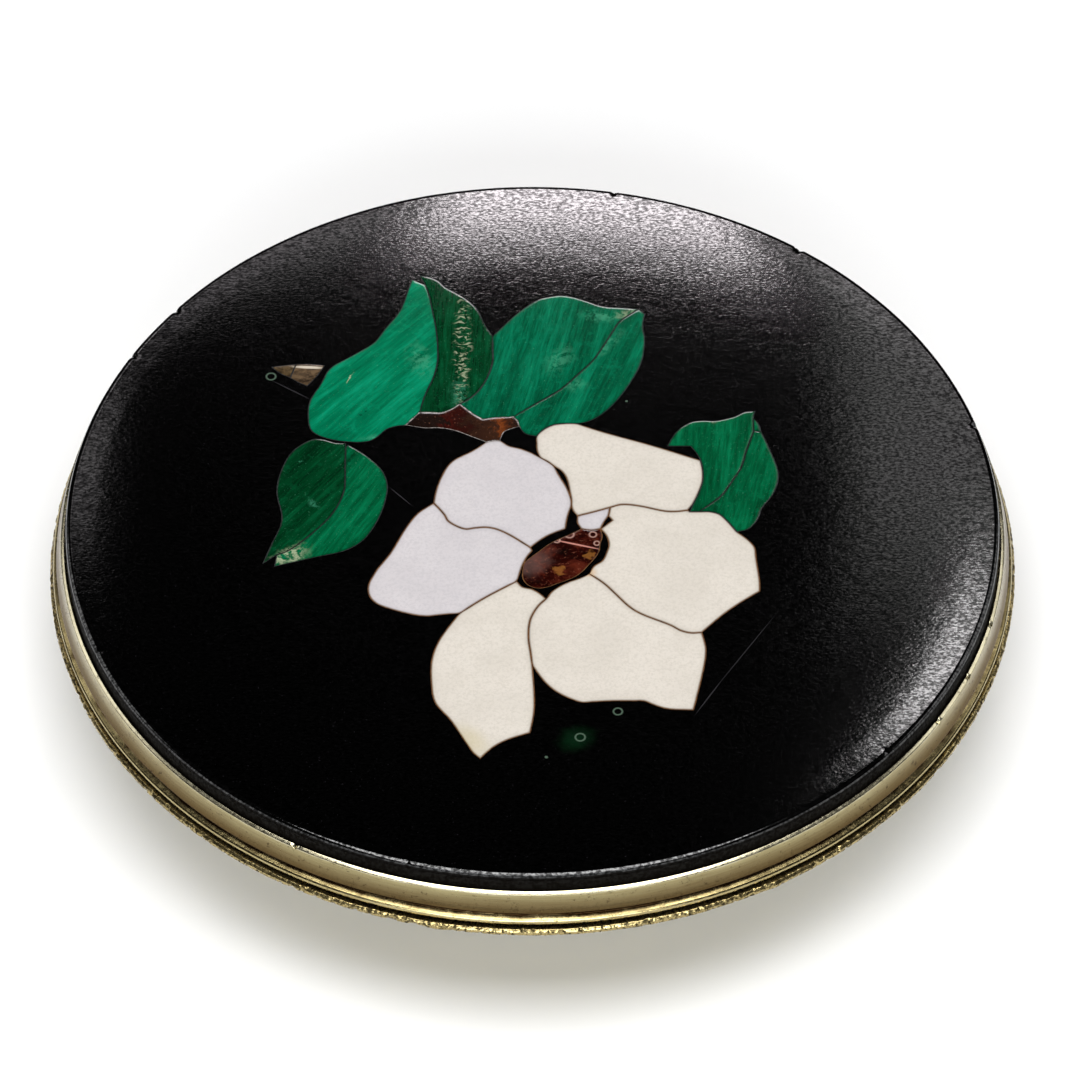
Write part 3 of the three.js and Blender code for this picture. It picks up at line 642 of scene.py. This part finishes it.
class Surface:
    """A material under construction, with short calls that add a node and return its output."""

    def __init__(self, name, **settings):
        self.material = bpy.data.materials.new(name)
        self.material.use_nodes = True
        self.tree = self.material.node_tree
        self.shader = self.tree.nodes["Principled BSDF"]
        for key, value in settings.items():
            self.set(key.replace("_", " "), value)

    def feed(self, socket, value):
        if isinstance(value, bpy.types.NodeSocket):
            self.tree.links.new(value, socket)
        else:
            socket.default_value = value

    def set(self, name, value):
        self.feed(self.shader.inputs[name], value)

    def add(self, kind, inputs, output=0, **settings):
        node = self.tree.nodes.new("ShaderNode" + kind)
        for key, value in settings.items():
            setattr(node, key, value)
        for key, value in inputs.items():
            self.feed(node.inputs[key], value)
        return node.outputs[output]

    def place(self):
        """Object coordinates in mm."""
        return self.scaled(self.add("TexCoord", {}, "Object"), 1000)

    def scaled(self, vector, factor):
        return self.add("VectorMath", {0: vector, "Scale": factor}, operation="SCALE")

    def stretched(self, vector, factors):
        return self.add("VectorMath", {0: vector, 1: factors}, operation="MULTIPLY")

    def warped(self, vector, scale, reach):
        """The vector pushed about by noise, by up to roughly the reach."""
        shift = self.add("TexNoise", {"Vector": vector, "Scale": scale, "Detail": 3.0}, "Color")
        shift = self.add("VectorMath", {0: shift, 1: (0.5, 0.5, 0.5)}, operation="SUBTRACT")
        return self.add("VectorMath", {0: vector, 1: self.scaled(shift, 2 * reach)}, operation="ADD")

    def attribute(self, name, output="Fac"):
        return self.add("Attribute", {}, output, attribute_name=name)

    def noise(self, vector, scale, detail=2.0, roughness=0.5, distortion=0.0):
        inputs = {"Vector": vector, "Scale": scale, "Detail": detail, "Roughness": roughness}
        return self.add("TexNoise", {**inputs, "Distortion": distortion})

    def math(self, operation, a, b=0.0):
        return self.add("Math", {0: a, 1: b}, operation=operation)

    def level(self, value, low, high, to_low=0.0, to_high=1.0):
        inputs = {"Value": value, "From Min": low, "From Max": high, "To Min": to_low, "To Max": to_high}
        return self.add("MapRange", inputs, interpolation_type="SMOOTHSTEP")

    def mix(self, factor, a, b):
        return self.add("Mix", {0: factor, 6: a, 7: b}, 2, data_type="RGBA")

    def ramp(self, value, *stops):
        node = self.tree.nodes.new("ShaderNodeValToRGB")
        self.feed(node.inputs[0], value)
        elements = node.color_ramp.elements
        while len(elements) < len(stops):
            elements.new(0.5)
        for element, (position, colour) in zip(elements, stops):
            element.position = position
            element.color = colour
        return node.outputs[0]

    def spot(self, place, x, y, wide, tall=None, turn=0.0, soft=0.35):
        """A mask that is 1 on an oval mark and fades at its edge. Sizes are radii in mm."""
        inputs = {0: place, 1: (x, y, TOP)}
        offset = self.add("VectorMath", inputs, operation="SUBTRACT")
        if turn:
            inputs = {"Vector": offset, "Angle": -math.radians(turn)}
            offset = self.add("VectorRotate", inputs, rotation_type="Z_AXIS")
        offset = self.stretched(offset, (1 / wide, 1 / (tall or wide), 0))
        distance = self.add("VectorMath", {0: offset}, "Value", operation="LENGTH")
        return self.level(distance, 1 + soft, 1 - soft)

    def line(self, place, start, end, wide):
        """A mask that is 1 along a thin straight mark."""
        start, end = Vector((*start, 0)), Vector((*end, 0))
        middle = (start + end) / 2
        along = end - start
        turn = math.degrees(math.atan2(along.y, along.x))
        return self.spot(place, middle.x, middle.y, along.length / 2, wide, turn, 0.5)

    def ring(self, place, x, y, radius, wide):
        """A mask that is 1 on a small circle."""
        outer = self.spot(place, x, y, radius + wide, soft=0.15)
        inner = self.spot(place, x, y, radius - wide, soft=0.15)
        return self.math("SUBTRACT", outer, inner)

    def largest(self, masks):
        total = masks[0]
        for mask in masks[1:]:
            total = self.math("MAXIMUM", total, mask)
        return total

    def bump(self, height, distance, normal=None):
        inputs = {"Height": height, "Distance": distance * MM, "Strength": 1.0}
        if normal:
            inputs["Normal"] = normal
        return self.add("Bump", inputs)


# ---- stone materials


def black_marble():
    """Honed black stone: low in gloss on its sawn side, which is painted dark brown as a painted reflection
    of the gilt bezel, with fine glints on its face.
    """
    s = Surface("black_marble_honed", IOR=1.5)
    place = s.place()
    height = s.add("SeparateXYZ", {0: place}, "Z")
    side = s.level(height, SIDE_START, SIDE_FULL)
    streaked = s.stretched(place, (1.1, 2.0, 1.0))
    grain = s.noise(streaked, 4.4, 3, 0.65)
    speck = s.level(s.noise(place, 8.0, 2, 0.6), 0.68, 0.76)
    scratches = s.largest([
        s.line(place, (8.3, -13.5), (9.5, -11.5), 0.03),
        s.line(place, (9.5, -11.5), (12.1, -7.4), 0.02),
        s.line(place, (-7.3, 1.7), (-6.3, 0.6), 0.03),
        s.line(place, (-13.5, 9.3), (-11.7, 8.1), 0.03),
        s.line(place, (-10.8, 9.8), (-9.6, 9.9), 0.03),
    ])
    flecks = s.largest([
        s.spot(place, 0.7, -16.5, 0.08),
        s.spot(place, 4.9, 7.9, 0.07),
        s.ring(place, 2.4, -15.2, 0.24, 0.04),
        s.ring(place, 4.3, -13.5, 0.22, 0.04),
        s.ring(place, -13.7, 9.7, 0.24, 0.04),
    ])
    stain = s.spot(s.warped(place, 1.5, 0.4), 2.2, -15.3, 0.7, 0.55, 30, 0.9)
    base = s.ramp(grain, (0.3, paint(0, 0, 0)), (0.62, paint(2, 2, 2)), (0.8, paint(7, 7, 8)))
    base = s.mix(s.math("MULTIPLY", speck, 0.35), base, paint(46, 44, 48))
    base = s.mix(s.math("MULTIPLY", scratches, 0.3), base, paint(78, 76, 80))
    base = s.mix(s.math("MULTIPLY", stain, 0.6), base, paint(8, 36, 18))
    base = s.mix(s.math("MULTIPLY", flecks, 0.6), base, paint(88, 108, 92))
    # Painted reflection: the side's dark brown stands for the gilt bezel mirrored in it; its low gloss is
    # the sawn side's own.
    s.set("Base Color", s.mix(side, base, paint(10, 8, 6)))
    glint = s.level(grain, 0.39, 0.64, 0.12, 0.9)
    s.set("Specular IOR Level", s.math("MULTIPLY", glint, s.level(side, 0, 1, 1, 0.08)))
    s.set("Roughness", s.level(side, 0, 1, 0.075, 0.6))
    shape = s.bump(s.noise(streaked, 4.8, 2, 0.6), 0.0026)
    s.set("Normal", s.bump(s.noise(place, 1.1, 1), 0.003, shape))
    return s.material


def malachite(name, deep, middle, light, fine_scale=3.6, marks=None):
    """Banded green stone. The bands follow each piece's own grain."""
    s = Surface(name, IOR=1.6, Roughness=0.08)
    s.set("Specular IOR Level", 0.2)
    place = s.place()
    grain = s.attribute("grain", "Vector")
    broad = s.noise(s.stretched(grain, (0.09, 0.75, 1)), 1.0, 2, 0.5, 0.4)
    bands = s.noise(s.stretched(grain, (0.1, 1, 1)), 1.4 * fine_scale, 4, 0.7, 0.25)
    total = s.math("ADD", s.math("MULTIPLY", broad, 0.45), s.math("MULTIPLY", bands, 0.55))
    green = s.ramp(total, (0.34, deep), (0.5, middle), (0.68, light))
    cloud = s.level(s.noise(place, 1.1, 6, 0.75), 0.52, 0.68)
    green = s.mix(s.math("MULTIPLY", cloud, 0.4), green, light)
    dust = s.level(s.noise(place, 9, 2, 0.7), 0.62, 0.74)
    green = s.mix(s.math("MULTIPLY", dust, 0.28), green, paint(96, 168, 132))
    # Darker towards each piece's edge: the green is mixed towards the deep tone within 0.1 mm of the
    # outline.
    worn = s.level(s.attribute("edge"), 0.1, 0.0)
    green = s.mix(s.math("MULTIPLY", worn, 0.45), green, deep)
    warped = s.warped(place, 1.6, 0.4)
    for build, colour, amount in marks or ():
        green = s.mix(s.math("MULTIPLY", build(s, warped), amount), green, colour)
    s.set("Base Color", green)
    s.set("Normal", s.bump(bands, 0.0012, s.bump(s.noise(place, 5, 1), 0.0015)))
    return s.material


def white_stone(name, body, shade):
    """Fine sugary white stone with a slightly grey, soft edge; the grey is painted shade, and the thin
    brown rim beside it is the joint.
    """
    s = Surface(name, IOR=1.5, Roughness=0.5, Subsurface_Weight=0.12, Subsurface_Scale=0.6 * MM)
    s.set("Subsurface Radius", (1.0, 0.9, 0.8))
    place = s.place()
    sugar = s.noise(place, 7.5, 3, 0.7)
    cloud = s.noise(place, 0.5, 3, 0.5)
    white = s.mix(s.level(cloud, 0.35, 0.7, 0, 0.3), body, shade)
    white = s.mix(s.level(sugar, 0.42, 0.66, 0, 0.55), white, shade)
    edge = s.attribute("edge")
    # Painted shade: the face greys within about 0.3 mm of the stone's edge.
    white = s.mix(s.level(edge, 0.32, 0.02, 0, 0.5), white, shade)
    white = s.mix(s.level(edge, 0.09, 0.0, 0, 0.75), white, paint(96, 74, 56))
    s.set("Base Color", white)
    s.set("Normal", s.bump(sugar, 0.006))
    return s, place, white


def warm_petal():
    s, place, white = white_stone("white_stone_warm", paint(195, 188, 178), paint(174, 167, 156))
    stain = s.spot(place, -3.1, -15.4, 1.0, 0.6, -50, 0.8)
    white = s.mix(s.math("MULTIPLY", stain, 0.5), white, paint(170, 158, 118))
    beige = s.spot(place, 2.9, -4.1, 0.35, 0.3, 0, 0.5)
    s.set("Base Color", s.mix(s.math("MULTIPLY", beige, 0.6), white, paint(188, 158, 122)))
    return s.material


def cool_petal():
    return white_stone("white_stone_cool", paint(186, 181, 182), paint(166, 161, 164))[0].material


def jasper():
    s = Surface("red_jasper", IOR=1.54, Roughness=0.08)
    s.set("Specular IOR Level", 0.25)
    place = s.place()
    blotch = s.noise(place, 0.9, 4, 0.65, 0.6)
    red = s.ramp(blotch, (0.33, paint(10, 2, 1)), (0.5, paint(34, 4, 2)), (0.66, paint(74, 27, 16)))
    warped = s.warped(place, 2.2, 0.6)
    grey = s.spot(warped, -0.1, -3.4, 1.0, 0.7, 40, 0.8)
    red = s.mix(s.math("MULTIPLY", grey, 0.5), red, paint(98, 74, 68))
    ochre = s.largest([s.spot(warped, 2.9, -3.0, 0.3, 0.22), s.spot(warped, 1.4, -4.0, 0.25)])
    red = s.mix(s.math("MULTIPLY", ochre, 0.4), red, paint(150, 98, 44))
    vein = s.line(place, (1.2, -1.9), (3.4, -2.5), 0.05)
    red = s.mix(s.math("MULTIPLY", vein, 0.8), red, paint(190, 130, 118))
    rings = s.largest([
        s.ring(place, 1.9, -1.5, 0.22, 0.045),
        s.ring(place, 1.25, -1.9, 0.16, 0.04),
        s.ring(place, 3.1, -1.5, 0.18, 0.04),
        s.ring(place, 3.3, -2.1, 0.14, 0.04),
    ])
    red = s.mix(s.math("MULTIPLY", rings, 0.6), red, paint(176, 140, 128))
    fine = s.noise(place, 5, 3, 0.7)
    red = s.mix(s.level(fine, 0.55, 0.75, 0, 0.4), red, paint(150, 92, 70))
    s.set("Base Color", red)
    s.set("Normal", s.bump(fine, 0.002))
    return s.material


def branch_stone():
    """Brown stone at both ends and clear red in the middle."""
    s = Surface("branch_jasper", IOR=1.54, Roughness=0.08)
    s.set("Specular IOR Level", 0.25)
    place = s.place()
    along = s.add("SeparateXYZ", {0: place}, "X")
    mottle = s.noise(place, 1.6, 4, 0.7, 0.5)
    shifted = s.math("ADD", along, s.level(mottle, 0.3, 0.7, -0.5, 0.5))
    position = s.level(shifted, -6.8, -0.6)
    stops = (
        (0.0, paint(18, 10, 7)),
        (0.26, paint(24, 12, 8)),
        (0.34, paint(48, 11, 7)),
        (0.52, paint(34, 9, 6)),
        (0.6, paint(36, 19, 12)),
        (0.86, paint(46, 26, 16)),
        (0.93, paint(104, 50, 20)),
        (1.0, paint(30, 18, 13)),
    )
    brown = s.ramp(position, *stops)
    spots = s.level(s.noise(place, 3.4, 3, 0.7), 0.5, 0.7)
    brown = s.mix(s.math("MULTIPLY", spots, 0.5), brown, paint(28, 18, 15))
    glint = s.level(s.noise(place, 7, 2), 0.62, 0.74)
    brown = s.mix(s.math("MULTIPLY", glint, 0.3), brown, paint(150, 104, 82))
    s.set("Base Color", brown)
    s.set("Normal", s.bump(mottle, 0.003))
    return s.material


def twig_stone(name, tone, pale):
    s = Surface(name, IOR=1.54, Roughness=0.1)
    s.set("Specular IOR Level", 0.25)
    place = s.place()
    streak = s.noise(s.stretched(place, (1.0, 1.8, 1)), 1.8, 6, 0.75, 0.6)
    base = s.ramp(streak, (0.38, tone), (0.6, pale))
    white = s.line(place, (-12.5, 10.4), (-11.0, 10.3), 0.09)
    s.set("Base Color", s.mix(s.math("MULTIPLY", white, 0.7), base, paint(214, 202, 184)))
    s.set("Normal", s.bump(streak, 0.003))
    return s.material


def cement(name, tone, pale):
    s = Surface(name, Roughness=0.75)
    s.set("Specular IOR Level", 0.15)
    grain = s.noise(s.place(), 4.5, 3, 0.7)
    s.set("Base Color", s.ramp(grain, (0.36, tone), (0.66, pale)))
    s.set("Normal", s.bump(grain, 0.02))
    return s.material


# ---- metal materials


def worn_gilt(name, bright, dull, tarnish, pits=0.0):
    """Thin worn gilding with fine lines round it, brown where tarnish has gathered."""
    s = Surface(name, Metallic=1.0)
    place = s.place()
    patch = s.noise(place, 0.5, 4, 0.6)
    fine = s.noise(place, 5.0, 3, 0.7)
    drawn = s.noise(s.stretched(place, (0.3, 0.3, 11)), 1.0, 3, 0.6)
    metal = s.mix(s.level(patch, 0.3, 0.75, 0, 0.5), bright, dull)
    metal = s.mix(s.level(drawn, 0.4, 0.7, 0, 0.5), metal, dull)
    dirt = s.level(s.noise(place, 2.6, 5, 0.75), 0.6, 0.7, 0, 0.5)
    if pits:
        holes = s.level(s.noise(place, 6.0, 3, 0.75), 0.5, 0.58)
        dirt = s.math("MAXIMUM", dirt, s.math("MULTIPLY", holes, pits))
    s.set("Base Color", s.mix(dirt, metal, tarnish))
    s.set("Roughness", s.math("ADD", s.level(fine, 0.3, 0.7, 0.2, 0.32), s.math("MULTIPLY", dirt, 0.3)))
    s.set("Normal", s.bump(fine, 0.004, s.bump(drawn, 0.006)))
    return s.material


def bezel_gilt_with_painted_highlights():
    """The bezel's gilding: a lip and bead painted bright as painted highlights, a duller hollow band and a
    groove brown with tarnish.
    """
    s = Surface("gilt_bezel_painted_highlights", Metallic=1.0)
    place = s.place()
    height = s.add("SeparateXYZ", {0: place}, "Z")
    patch = s.noise(place, 0.6, 4, 0.6)
    drawn = s.noise(s.stretched(place, (0.3, 0.3, 11)), 1.0, 3, 0.6)
    wander = s.math("ADD", height, s.level(patch, 0.3, 0.7, -0.04, 0.04))
    # Painted highlights: these stops make the bead and the lip much brighter than the band between them;
    # the dark brown near the groove is tarnish.
    stops = (
        (0.02, paint(140, 124, 84)),
        (0.05, paint(186, 173, 130)),
        (0.17, paint(168, 153, 108)),
        (0.21, paint(50, 33, 17)),
        (0.31, paint(72, 52, 29)),
        (0.38, paint(92, 75, 46)),
        (0.6, paint(124, 110, 77)),
        (0.86, paint(166, 155, 114)),
        (0.91, paint(206, 198, 168)),
    )
    up = s.add("MapRange", {"Value": wander, "From Min": BEZEL_BOTTOM, "From Max": BEZEL_TOP})
    metal = s.ramp(up, *stops)
    metal = s.mix(s.level(drawn, 0.42, 0.7, 0, 0.35), metal, paint(96, 76, 46))
    fine = s.noise(place, 5.0, 3, 0.7)
    dirt = s.level(s.noise(place, 3.0, 5, 0.75), 0.57, 0.68, 0, 0.6)
    s.set("Base Color", s.mix(dirt, metal, paint(50, 36, 20)))
    s.set("Roughness", s.math("ADD", s.level(fine, 0.3, 0.7, 0.16, 0.28), s.math("MULTIPLY", dirt, 0.3)))
    s.set("Normal", s.bump(fine, 0.003, s.bump(drawn, 0.005)))
    return s.material


def inside_gilt():
    """Gilding kept bright inside the box, with faint turning lines."""
    s = Surface("gilt_inside_bright", Metallic=1.0)
    place = s.place()
    flat = s.stretched(place, (1, 1, 0))
    radius = s.add("VectorMath", {0: flat}, "Value", operation="LENGTH")
    spread = s.add("CombineXYZ", {"X": radius, "Y": 0.0, "Z": 0.0})
    lines = s.noise(spread, 3.0, 3, 0.7)
    patch = s.noise(place, 0.35, 4, 0.6)
    gold = s.mix(s.level(patch, 0.3, 0.75), paint(226, 206, 158), paint(210, 188, 138))
    stain = s.level(s.noise(place, 0.9, 5, 0.7), 0.58, 0.8)
    gold = s.mix(s.math("MULTIPLY", stain, 0.12), gold, paint(160, 130, 84))
    s.set("Base Color", gold)
    s.set("Roughness", 0.3)
    s.set("Normal", s.bump(lines, 0.01, s.bump(s.noise(place, 2.5, 3), 0.008)))
    return s.material


def pin_metal():
    s = Surface("pin_brass", Metallic=1.0, Roughness=0.34)
    grain = s.noise(s.place(), 3, 3)
    s.set("Base Color", s.mix(grain, paint(196, 178, 138), paint(140, 120, 84)))
    s.set("Normal", s.bump(grain, 0.006))
    return s.material


def slate():
    s = Surface("backing_slate", Roughness=0.7)
    grain = s.noise(s.place(), 1.5, 4, 0.6)
    s.set("Base Color", s.ramp(grain, (0.3, paint(44, 46, 50)), (0.7, paint(74, 76, 80))))
    s.set("Normal", s.bump(grain, 0.02))
    return s.material


# ---- which material goes where

CREAM = paint(178, 182, 150)
PALE_GREEN = paint(62, 142, 110)
DARK_GREEN = paint(3, 22, 14)


def leaf_marks(*rows):
    """Marks for a leaf, from rows of (colour, amount, oval) with the oval as x, y, wide, tall, turn."""
    def oval(numbers):
        def mark(s, place):
            patchy = s.level(s.noise(place, 2.6, 4, 0.75), 0.42, 0.58)
            return s.math("MULTIPLY", s.spot(place, *numbers, 0.8), patchy)

        return mark

    return [(oval(numbers), colour, amount) for colour, amount, numbers in rows]


def cream_ticks(s, place):
    """Short cream dashes that climb through the middle of a leaf."""
    band = s.spot(place, -3.7, 11.9, 0.4, 3.6, 0, 0.5)
    dashes = s.level(s.noise(s.stretched(place, (2.4, 6.5, 1)), 1.0, 2, 0.6), 0.52, 0.62)
    return s.math("MULTIPLY", band, dashes)


def leaf_materials():
    """The malachite of every leaf piece."""
    bright = (paint(0, 72, 46), paint(0, 97, 65), paint(8, 130, 95))
    middle = (paint(0, 48, 28), paint(0, 77, 50), paint(6, 110, 78))
    mossy = (paint(0, 41, 19), paint(0, 72, 41), paint(5, 104, 66))
    deep = (paint(0, 28, 11), paint(0, 46, 21), paint(5, 78, 44))
    return {
        "leaf_a_left": malachite("malachite_a_left", *bright, 2.6, leaf_marks(
            (PALE_GREEN, 0.5, (-5.9, 10.9, 0.5, 1.0, 20)),
            (PALE_GREEN, 0.6, (-7.9, 5.4, 0.8, 0.2, 10)),
            (DARK_GREEN, 0.6, (-9.0, 6.9, 0.12, 0.08, 0)),
            (DARK_GREEN, 0.6, (-8.7, 7.3, 0.09, 0.07, 0)),
            (CREAM, 0.6, (-9.6, 9.6, 0.3, 0.04, 60)),
        )),
        "leaf_a_right": malachite("malachite_a_right", *deep, 4.2, leaf_marks(
            (PALE_GREEN, 0.4, (-3.8, 8.4, 0.4, 0.8, 0)),
        ) + [(cream_ticks, CREAM, 0.5)]),
        "leaf_b_upper": malachite("malachite_b_upper", *middle, 4.8, leaf_marks(
            (PALE_GREEN, 0.45, (1.4, 10.9, 0.5, 0.9, -30)),
            (PALE_GREEN, 0.5, (3.6, 14.1, 0.9, 0.35, -10)),
            (CREAM, 0.45, (5.1, 14.2, 0.5, 0.3, 10)),
            (DARK_GREEN, 0.8, (4.6, 13.6, 0.07, 0.07, 0)),
            (DARK_GREEN, 0.8, (4.2, 12.9, 0.06, 0.06, 0)),
        )),
        "leaf_b_lower": malachite("malachite_b_lower", *middle, 4.4, leaf_marks(
            (PALE_GREEN, 0.5, (3.9, 12.0, 0.3, 1.0, -40)),
            (PALE_GREEN, 0.4, (2.1, 9.1, 0.6, 0.4, 0)),
        )),
        "leaf_c_left": malachite("malachite_c_left", *mossy, 3.8, leaf_marks(
            (CREAM, 0.5, (9.5, 6.4, 0.12, 0.09, 0)),
        )),
        "leaf_c_right": malachite("malachite_c_right", *mossy, 3.4),
        "leaf_c_tip": malachite("malachite_c_tip", *mossy, 3.4),
        "leaf_d_left": malachite("malachite_d_left", *deep, 2.8, leaf_marks(
            (PALE_GREEN, 0.5, (-12.0, 3.6, 0.15, 0.1, 0)),
            (PALE_GREEN, 0.4, (-11.3, 0.7, 0.4, 0.12, -40)),
            (CREAM, 0.6, (-12.6, -2.9, 0.8, 0.35, 40)),
        )),
        "leaf_d_right": malachite("malachite_d_right", *mossy, 3.0, leaf_marks(
            (CREAM, 0.65, (-12.6, -3.0, 0.9, 0.45, 30)),
        )),
    }


def dress(pieces, stones, cements):
    """Gives every piece its material."""
    leaves = leaf_materials()
    cool, warm = cool_petal(), warm_petal()
    red, brown = jasper(), branch_stone()
    olive = twig_stone("chalcedony_olive", paint(32, 24, 15), paint(84, 68, 45))
    beige = twig_stone("chalcedony_beige", paint(34, 25, 17), paint(92, 74, 54))
    by_node = {
        **leaves,
        "petal_upper_left": cool,
        "petal_left": cool,
        "petal_sliver": cool,
        "jasper_centre": red,
        "branch": brown,
        "twig_tip": olive,
        "twig_end": beige,
    }
    for node, obj in stones.items():
        obj.data.materials.append(by_node.get(node, warm))
    joints = {
        "brown": cement("cement_brown", paint(62, 38, 18), paint(104, 70, 38)),
        # The white cement's pale colour is partly a painted highlight for the glints on the branch's edge.
        "white": cement("cement_white", paint(66, 62, 60), paint(168, 162, 158)),
        "grey": cement("cement_grey", paint(10, 11, 12), paint(42, 44, 46)),
        "dark": cement("cement_dark", paint(4, 6, 6), paint(26, 32, 31)),
    }
    for kind, obj in cements.items():
        obj.data.materials.append(joints[kind])
    rim = worn_gilt("gilt_pitted", paint(182, 165, 116), paint(132, 114, 72), paint(22, 16, 10), 0.9)
    outside = worn_gilt("gilt_bowl", paint(204, 192, 148), paint(160, 143, 102), paint(66, 50, 30))
    gold = inside_gilt()
    finishes = {
        "slab": black_marble(),
        "bezel": bezel_gilt_with_painted_highlights(),
        "rim": rim,
        "bowl": outside,
        "flange": gold,
        "liner": gold,
        "base_leaf": outside,
        "lid_leaf": outside,
        "pin": pin_metal(),
        "backing": slate(),
    }
    for name, obj in pieces.items():
        obj.data.materials.append(finishes[name])
    pieces["bowl"].data.materials.append(gold)
    paint_inside(pieces["bowl"])


def paint_inside(bowl):
    """The bowl's inner faces take the bright gilding."""
    for face in bowl.data.polygons:
        outward = Vector((face.center.x, face.center.y, 0)).dot(face.normal)
        is_floor = face.normal.z > 0.5 and face.center.z > 0.5 * MM
        if is_floor or (outward < 0 and face.center.z > 0.7 * MM):
            face.material_index = 1


# ---- stage, light and camera

CAMERA_ELEVATION = math.radians(47.81)
CAMERA_DISTANCE = 0.375
CAMERA_AIM = Vector((0.385 * MM, -1.88 * MM, TOP * MM))
CAMERA_FIELD = math.radians(8.45)
PANEL_ELEVATION = math.radians(50)
ROOM_STRENGTH = 0.4


def build_floor():
    mesh = bpy.data.meshes.new("floor")
    size = 1.5
    corners = [(-size, -size, 0), (size, -size, 0), (size, size, 0), (-size, size, 0)]
    mesh.from_pydata(corners, [], [(0, 1, 2, 3)])
    floor = bpy.data.objects.new("floor", mesh)
    bpy.context.scene.collection.objects.link(floor)
    s = Surface("floor_white", Roughness=0.9)
    s.set("Base Color", (0.78, 0.78, 0.78, 1))
    s.set("Specular IOR Level", 0.1)
    mesh.materials.append(s.material)


def softbox(name, azimuth, elevation, distance, size, power, colour=(1, 1, 1)):
    """An area light aimed at the box. Azimuth 0 is +Y and 90 is +X."""
    data = bpy.data.lights.new(name, "AREA")
    data.shape = "RECTANGLE"
    data.size, data.size_y = size
    data.energy = power
    data.color = colour
    light = bpy.data.objects.new(name, data)
    bpy.context.scene.collection.objects.link(light)
    azimuth, elevation = math.radians(azimuth), math.radians(elevation)
    way = Vector((
        math.sin(azimuth) * math.cos(elevation),
        math.cos(azimuth) * math.cos(elevation),
        math.sin(elevation),
    ))
    light.location = way * distance
    light.rotation_euler = (-way).to_track_quat("-Z", "Y").to_euler()
    return light


def build_lights():
    """Small boxes behind that glint on the stone, and large ones at the sides, above and in front."""
    softbox("back_strip", 2, 39, 0.9, (0.5, 0.1), 0.22, (1, 0.93, 0.97))
    softbox("back_box", 1.3, 39.2, 0.9, (0.09, 0.1), 0.37, (1, 0.93, 0.96))
    softbox("right_spot", 16, 51.6, 0.8, (0.07, 0.07), 0.15, (1, 0.97, 0.98))
    softbox("right_box", 14, 44, 0.8, (0.14, 0.14), 0.07, (1, 0.98, 0.98))
    softbox("left_box", -18, 40, 0.8, (0.12, 0.2), 0.09, (1, 0.95, 0.97))
    softbox("right_side", 62, 36, 0.9, (0.5, 0.4), 1.0)
    softbox("left_side", -62, 36, 0.9, (0.5, 0.4), 1.0)
    softbox("overhead", 180, 80, 0.9, (0.7, 0.5), 8.6)
    softbox("front_fill", 180, 30, 0.8, (0.6, 0.3), 5.0, (0.95, 0.98, 1))


def build_world():
    """An even white room with one dark panel behind, which the polished face mirrors."""
    world = bpy.data.worlds.new("studio")
    world.use_nodes = True
    nodes, links = world.node_tree.nodes, world.node_tree.links
    way = nodes.new("ShaderNodeTexCoord")
    toward = nodes.new("ShaderNodeVectorMath")
    toward.operation = "DOT_PRODUCT"
    toward.inputs[1].default_value = (0, math.cos(PANEL_ELEVATION), math.sin(PANEL_ELEVATION))
    level = nodes.new("ShaderNodeMapRange")
    level.interpolation_type = "SMOOTHSTEP"
    level.inputs["From Min"].default_value = math.cos(math.radians(24))
    level.inputs["From Max"].default_value = math.cos(math.radians(14))
    level.inputs["To Min"].default_value = ROOM_STRENGTH
    level.inputs["To Max"].default_value = 0
    links.new(way.outputs["Generated"], toward.inputs[0])
    links.new(toward.outputs["Value"], level.inputs["Value"])
    links.new(level.outputs["Result"], nodes["Background"].inputs["Strength"])
    bpy.context.scene.world = world


def place_camera():
    data = bpy.data.cameras.new("camera")
    data.sensor_width = 36
    data.angle = CAMERA_FIELD
    data.clip_start = 0.01
    data.clip_end = 10
    camera = bpy.data.objects.new("camera", data)
    bpy.context.scene.collection.objects.link(camera)
    back = Vector((0, -math.cos(CAMERA_ELEVATION), math.sin(CAMERA_ELEVATION)))
    camera.location = CAMERA_AIM + back * CAMERA_DISTANCE
    camera.rotation_euler = (math.pi / 2 - CAMERA_ELEVATION, 0, 0)
    bpy.context.scene.camera = camera
    bpy.context.scene.view_settings.view_transform = "Standard"


# ---- putting it together


def build_pieces():
    return {
        "slab": build_slab(),
        "bezel": build_turned(
            "turned_bezel", "bezel_ring", "lid", "gilt_worn", BEZEL_SEGMENTS, 0.04,
            step=0.2, wear=bezel_wear, reshape=sloped_lip,
        ),
        "rim": build_turned(
            "pitted_rim", "base_rim", "base", "gilt_worn", RIM_SEGMENTS, 0.06, step=0.09, wear=rim_wear
        ),
        "bowl": build_turned("turned_bowl", "base_bowl", "base", "gilt_inside", PLAIN_SEGMENTS, 0.12),
        "flange": build_turned("turned_flange", "base_flange", "base", "gilt_inside", PLAIN_SEGMENTS, 0.05),
        "liner": build_turned("turned_liner", "lid_liner", "lid", "gilt_inside", PLAIN_SEGMENTS, 0.1),
        "base_leaf": softened("soft_base_leaf", "base_hinge_leaf", "base", "gilt_worn", 0.04),
        "lid_leaf": softened("soft_lid_leaf", "lid_hinge_leaf", "lid", "gilt_worn", 0.04),
        "pin": softened("soft_pin", "hinge_pin", "base", "pin", 0.05),
        "backing": softened("soft_backing", "backing_disc", "lid", "slate", 0.08),
    }


def build_stones():
    stones, loops = {}, {}
    for seed, node in enumerate(STONES):
        stones[node], loops[node] = build_stone(node, seed * 3.7)
    return stones, loops


pieces = build_pieces()
stones, loops = build_stones()
dress(pieces, stones, build_cement(loops))
build_floor()
build_lights()
build_world()
place_camera()
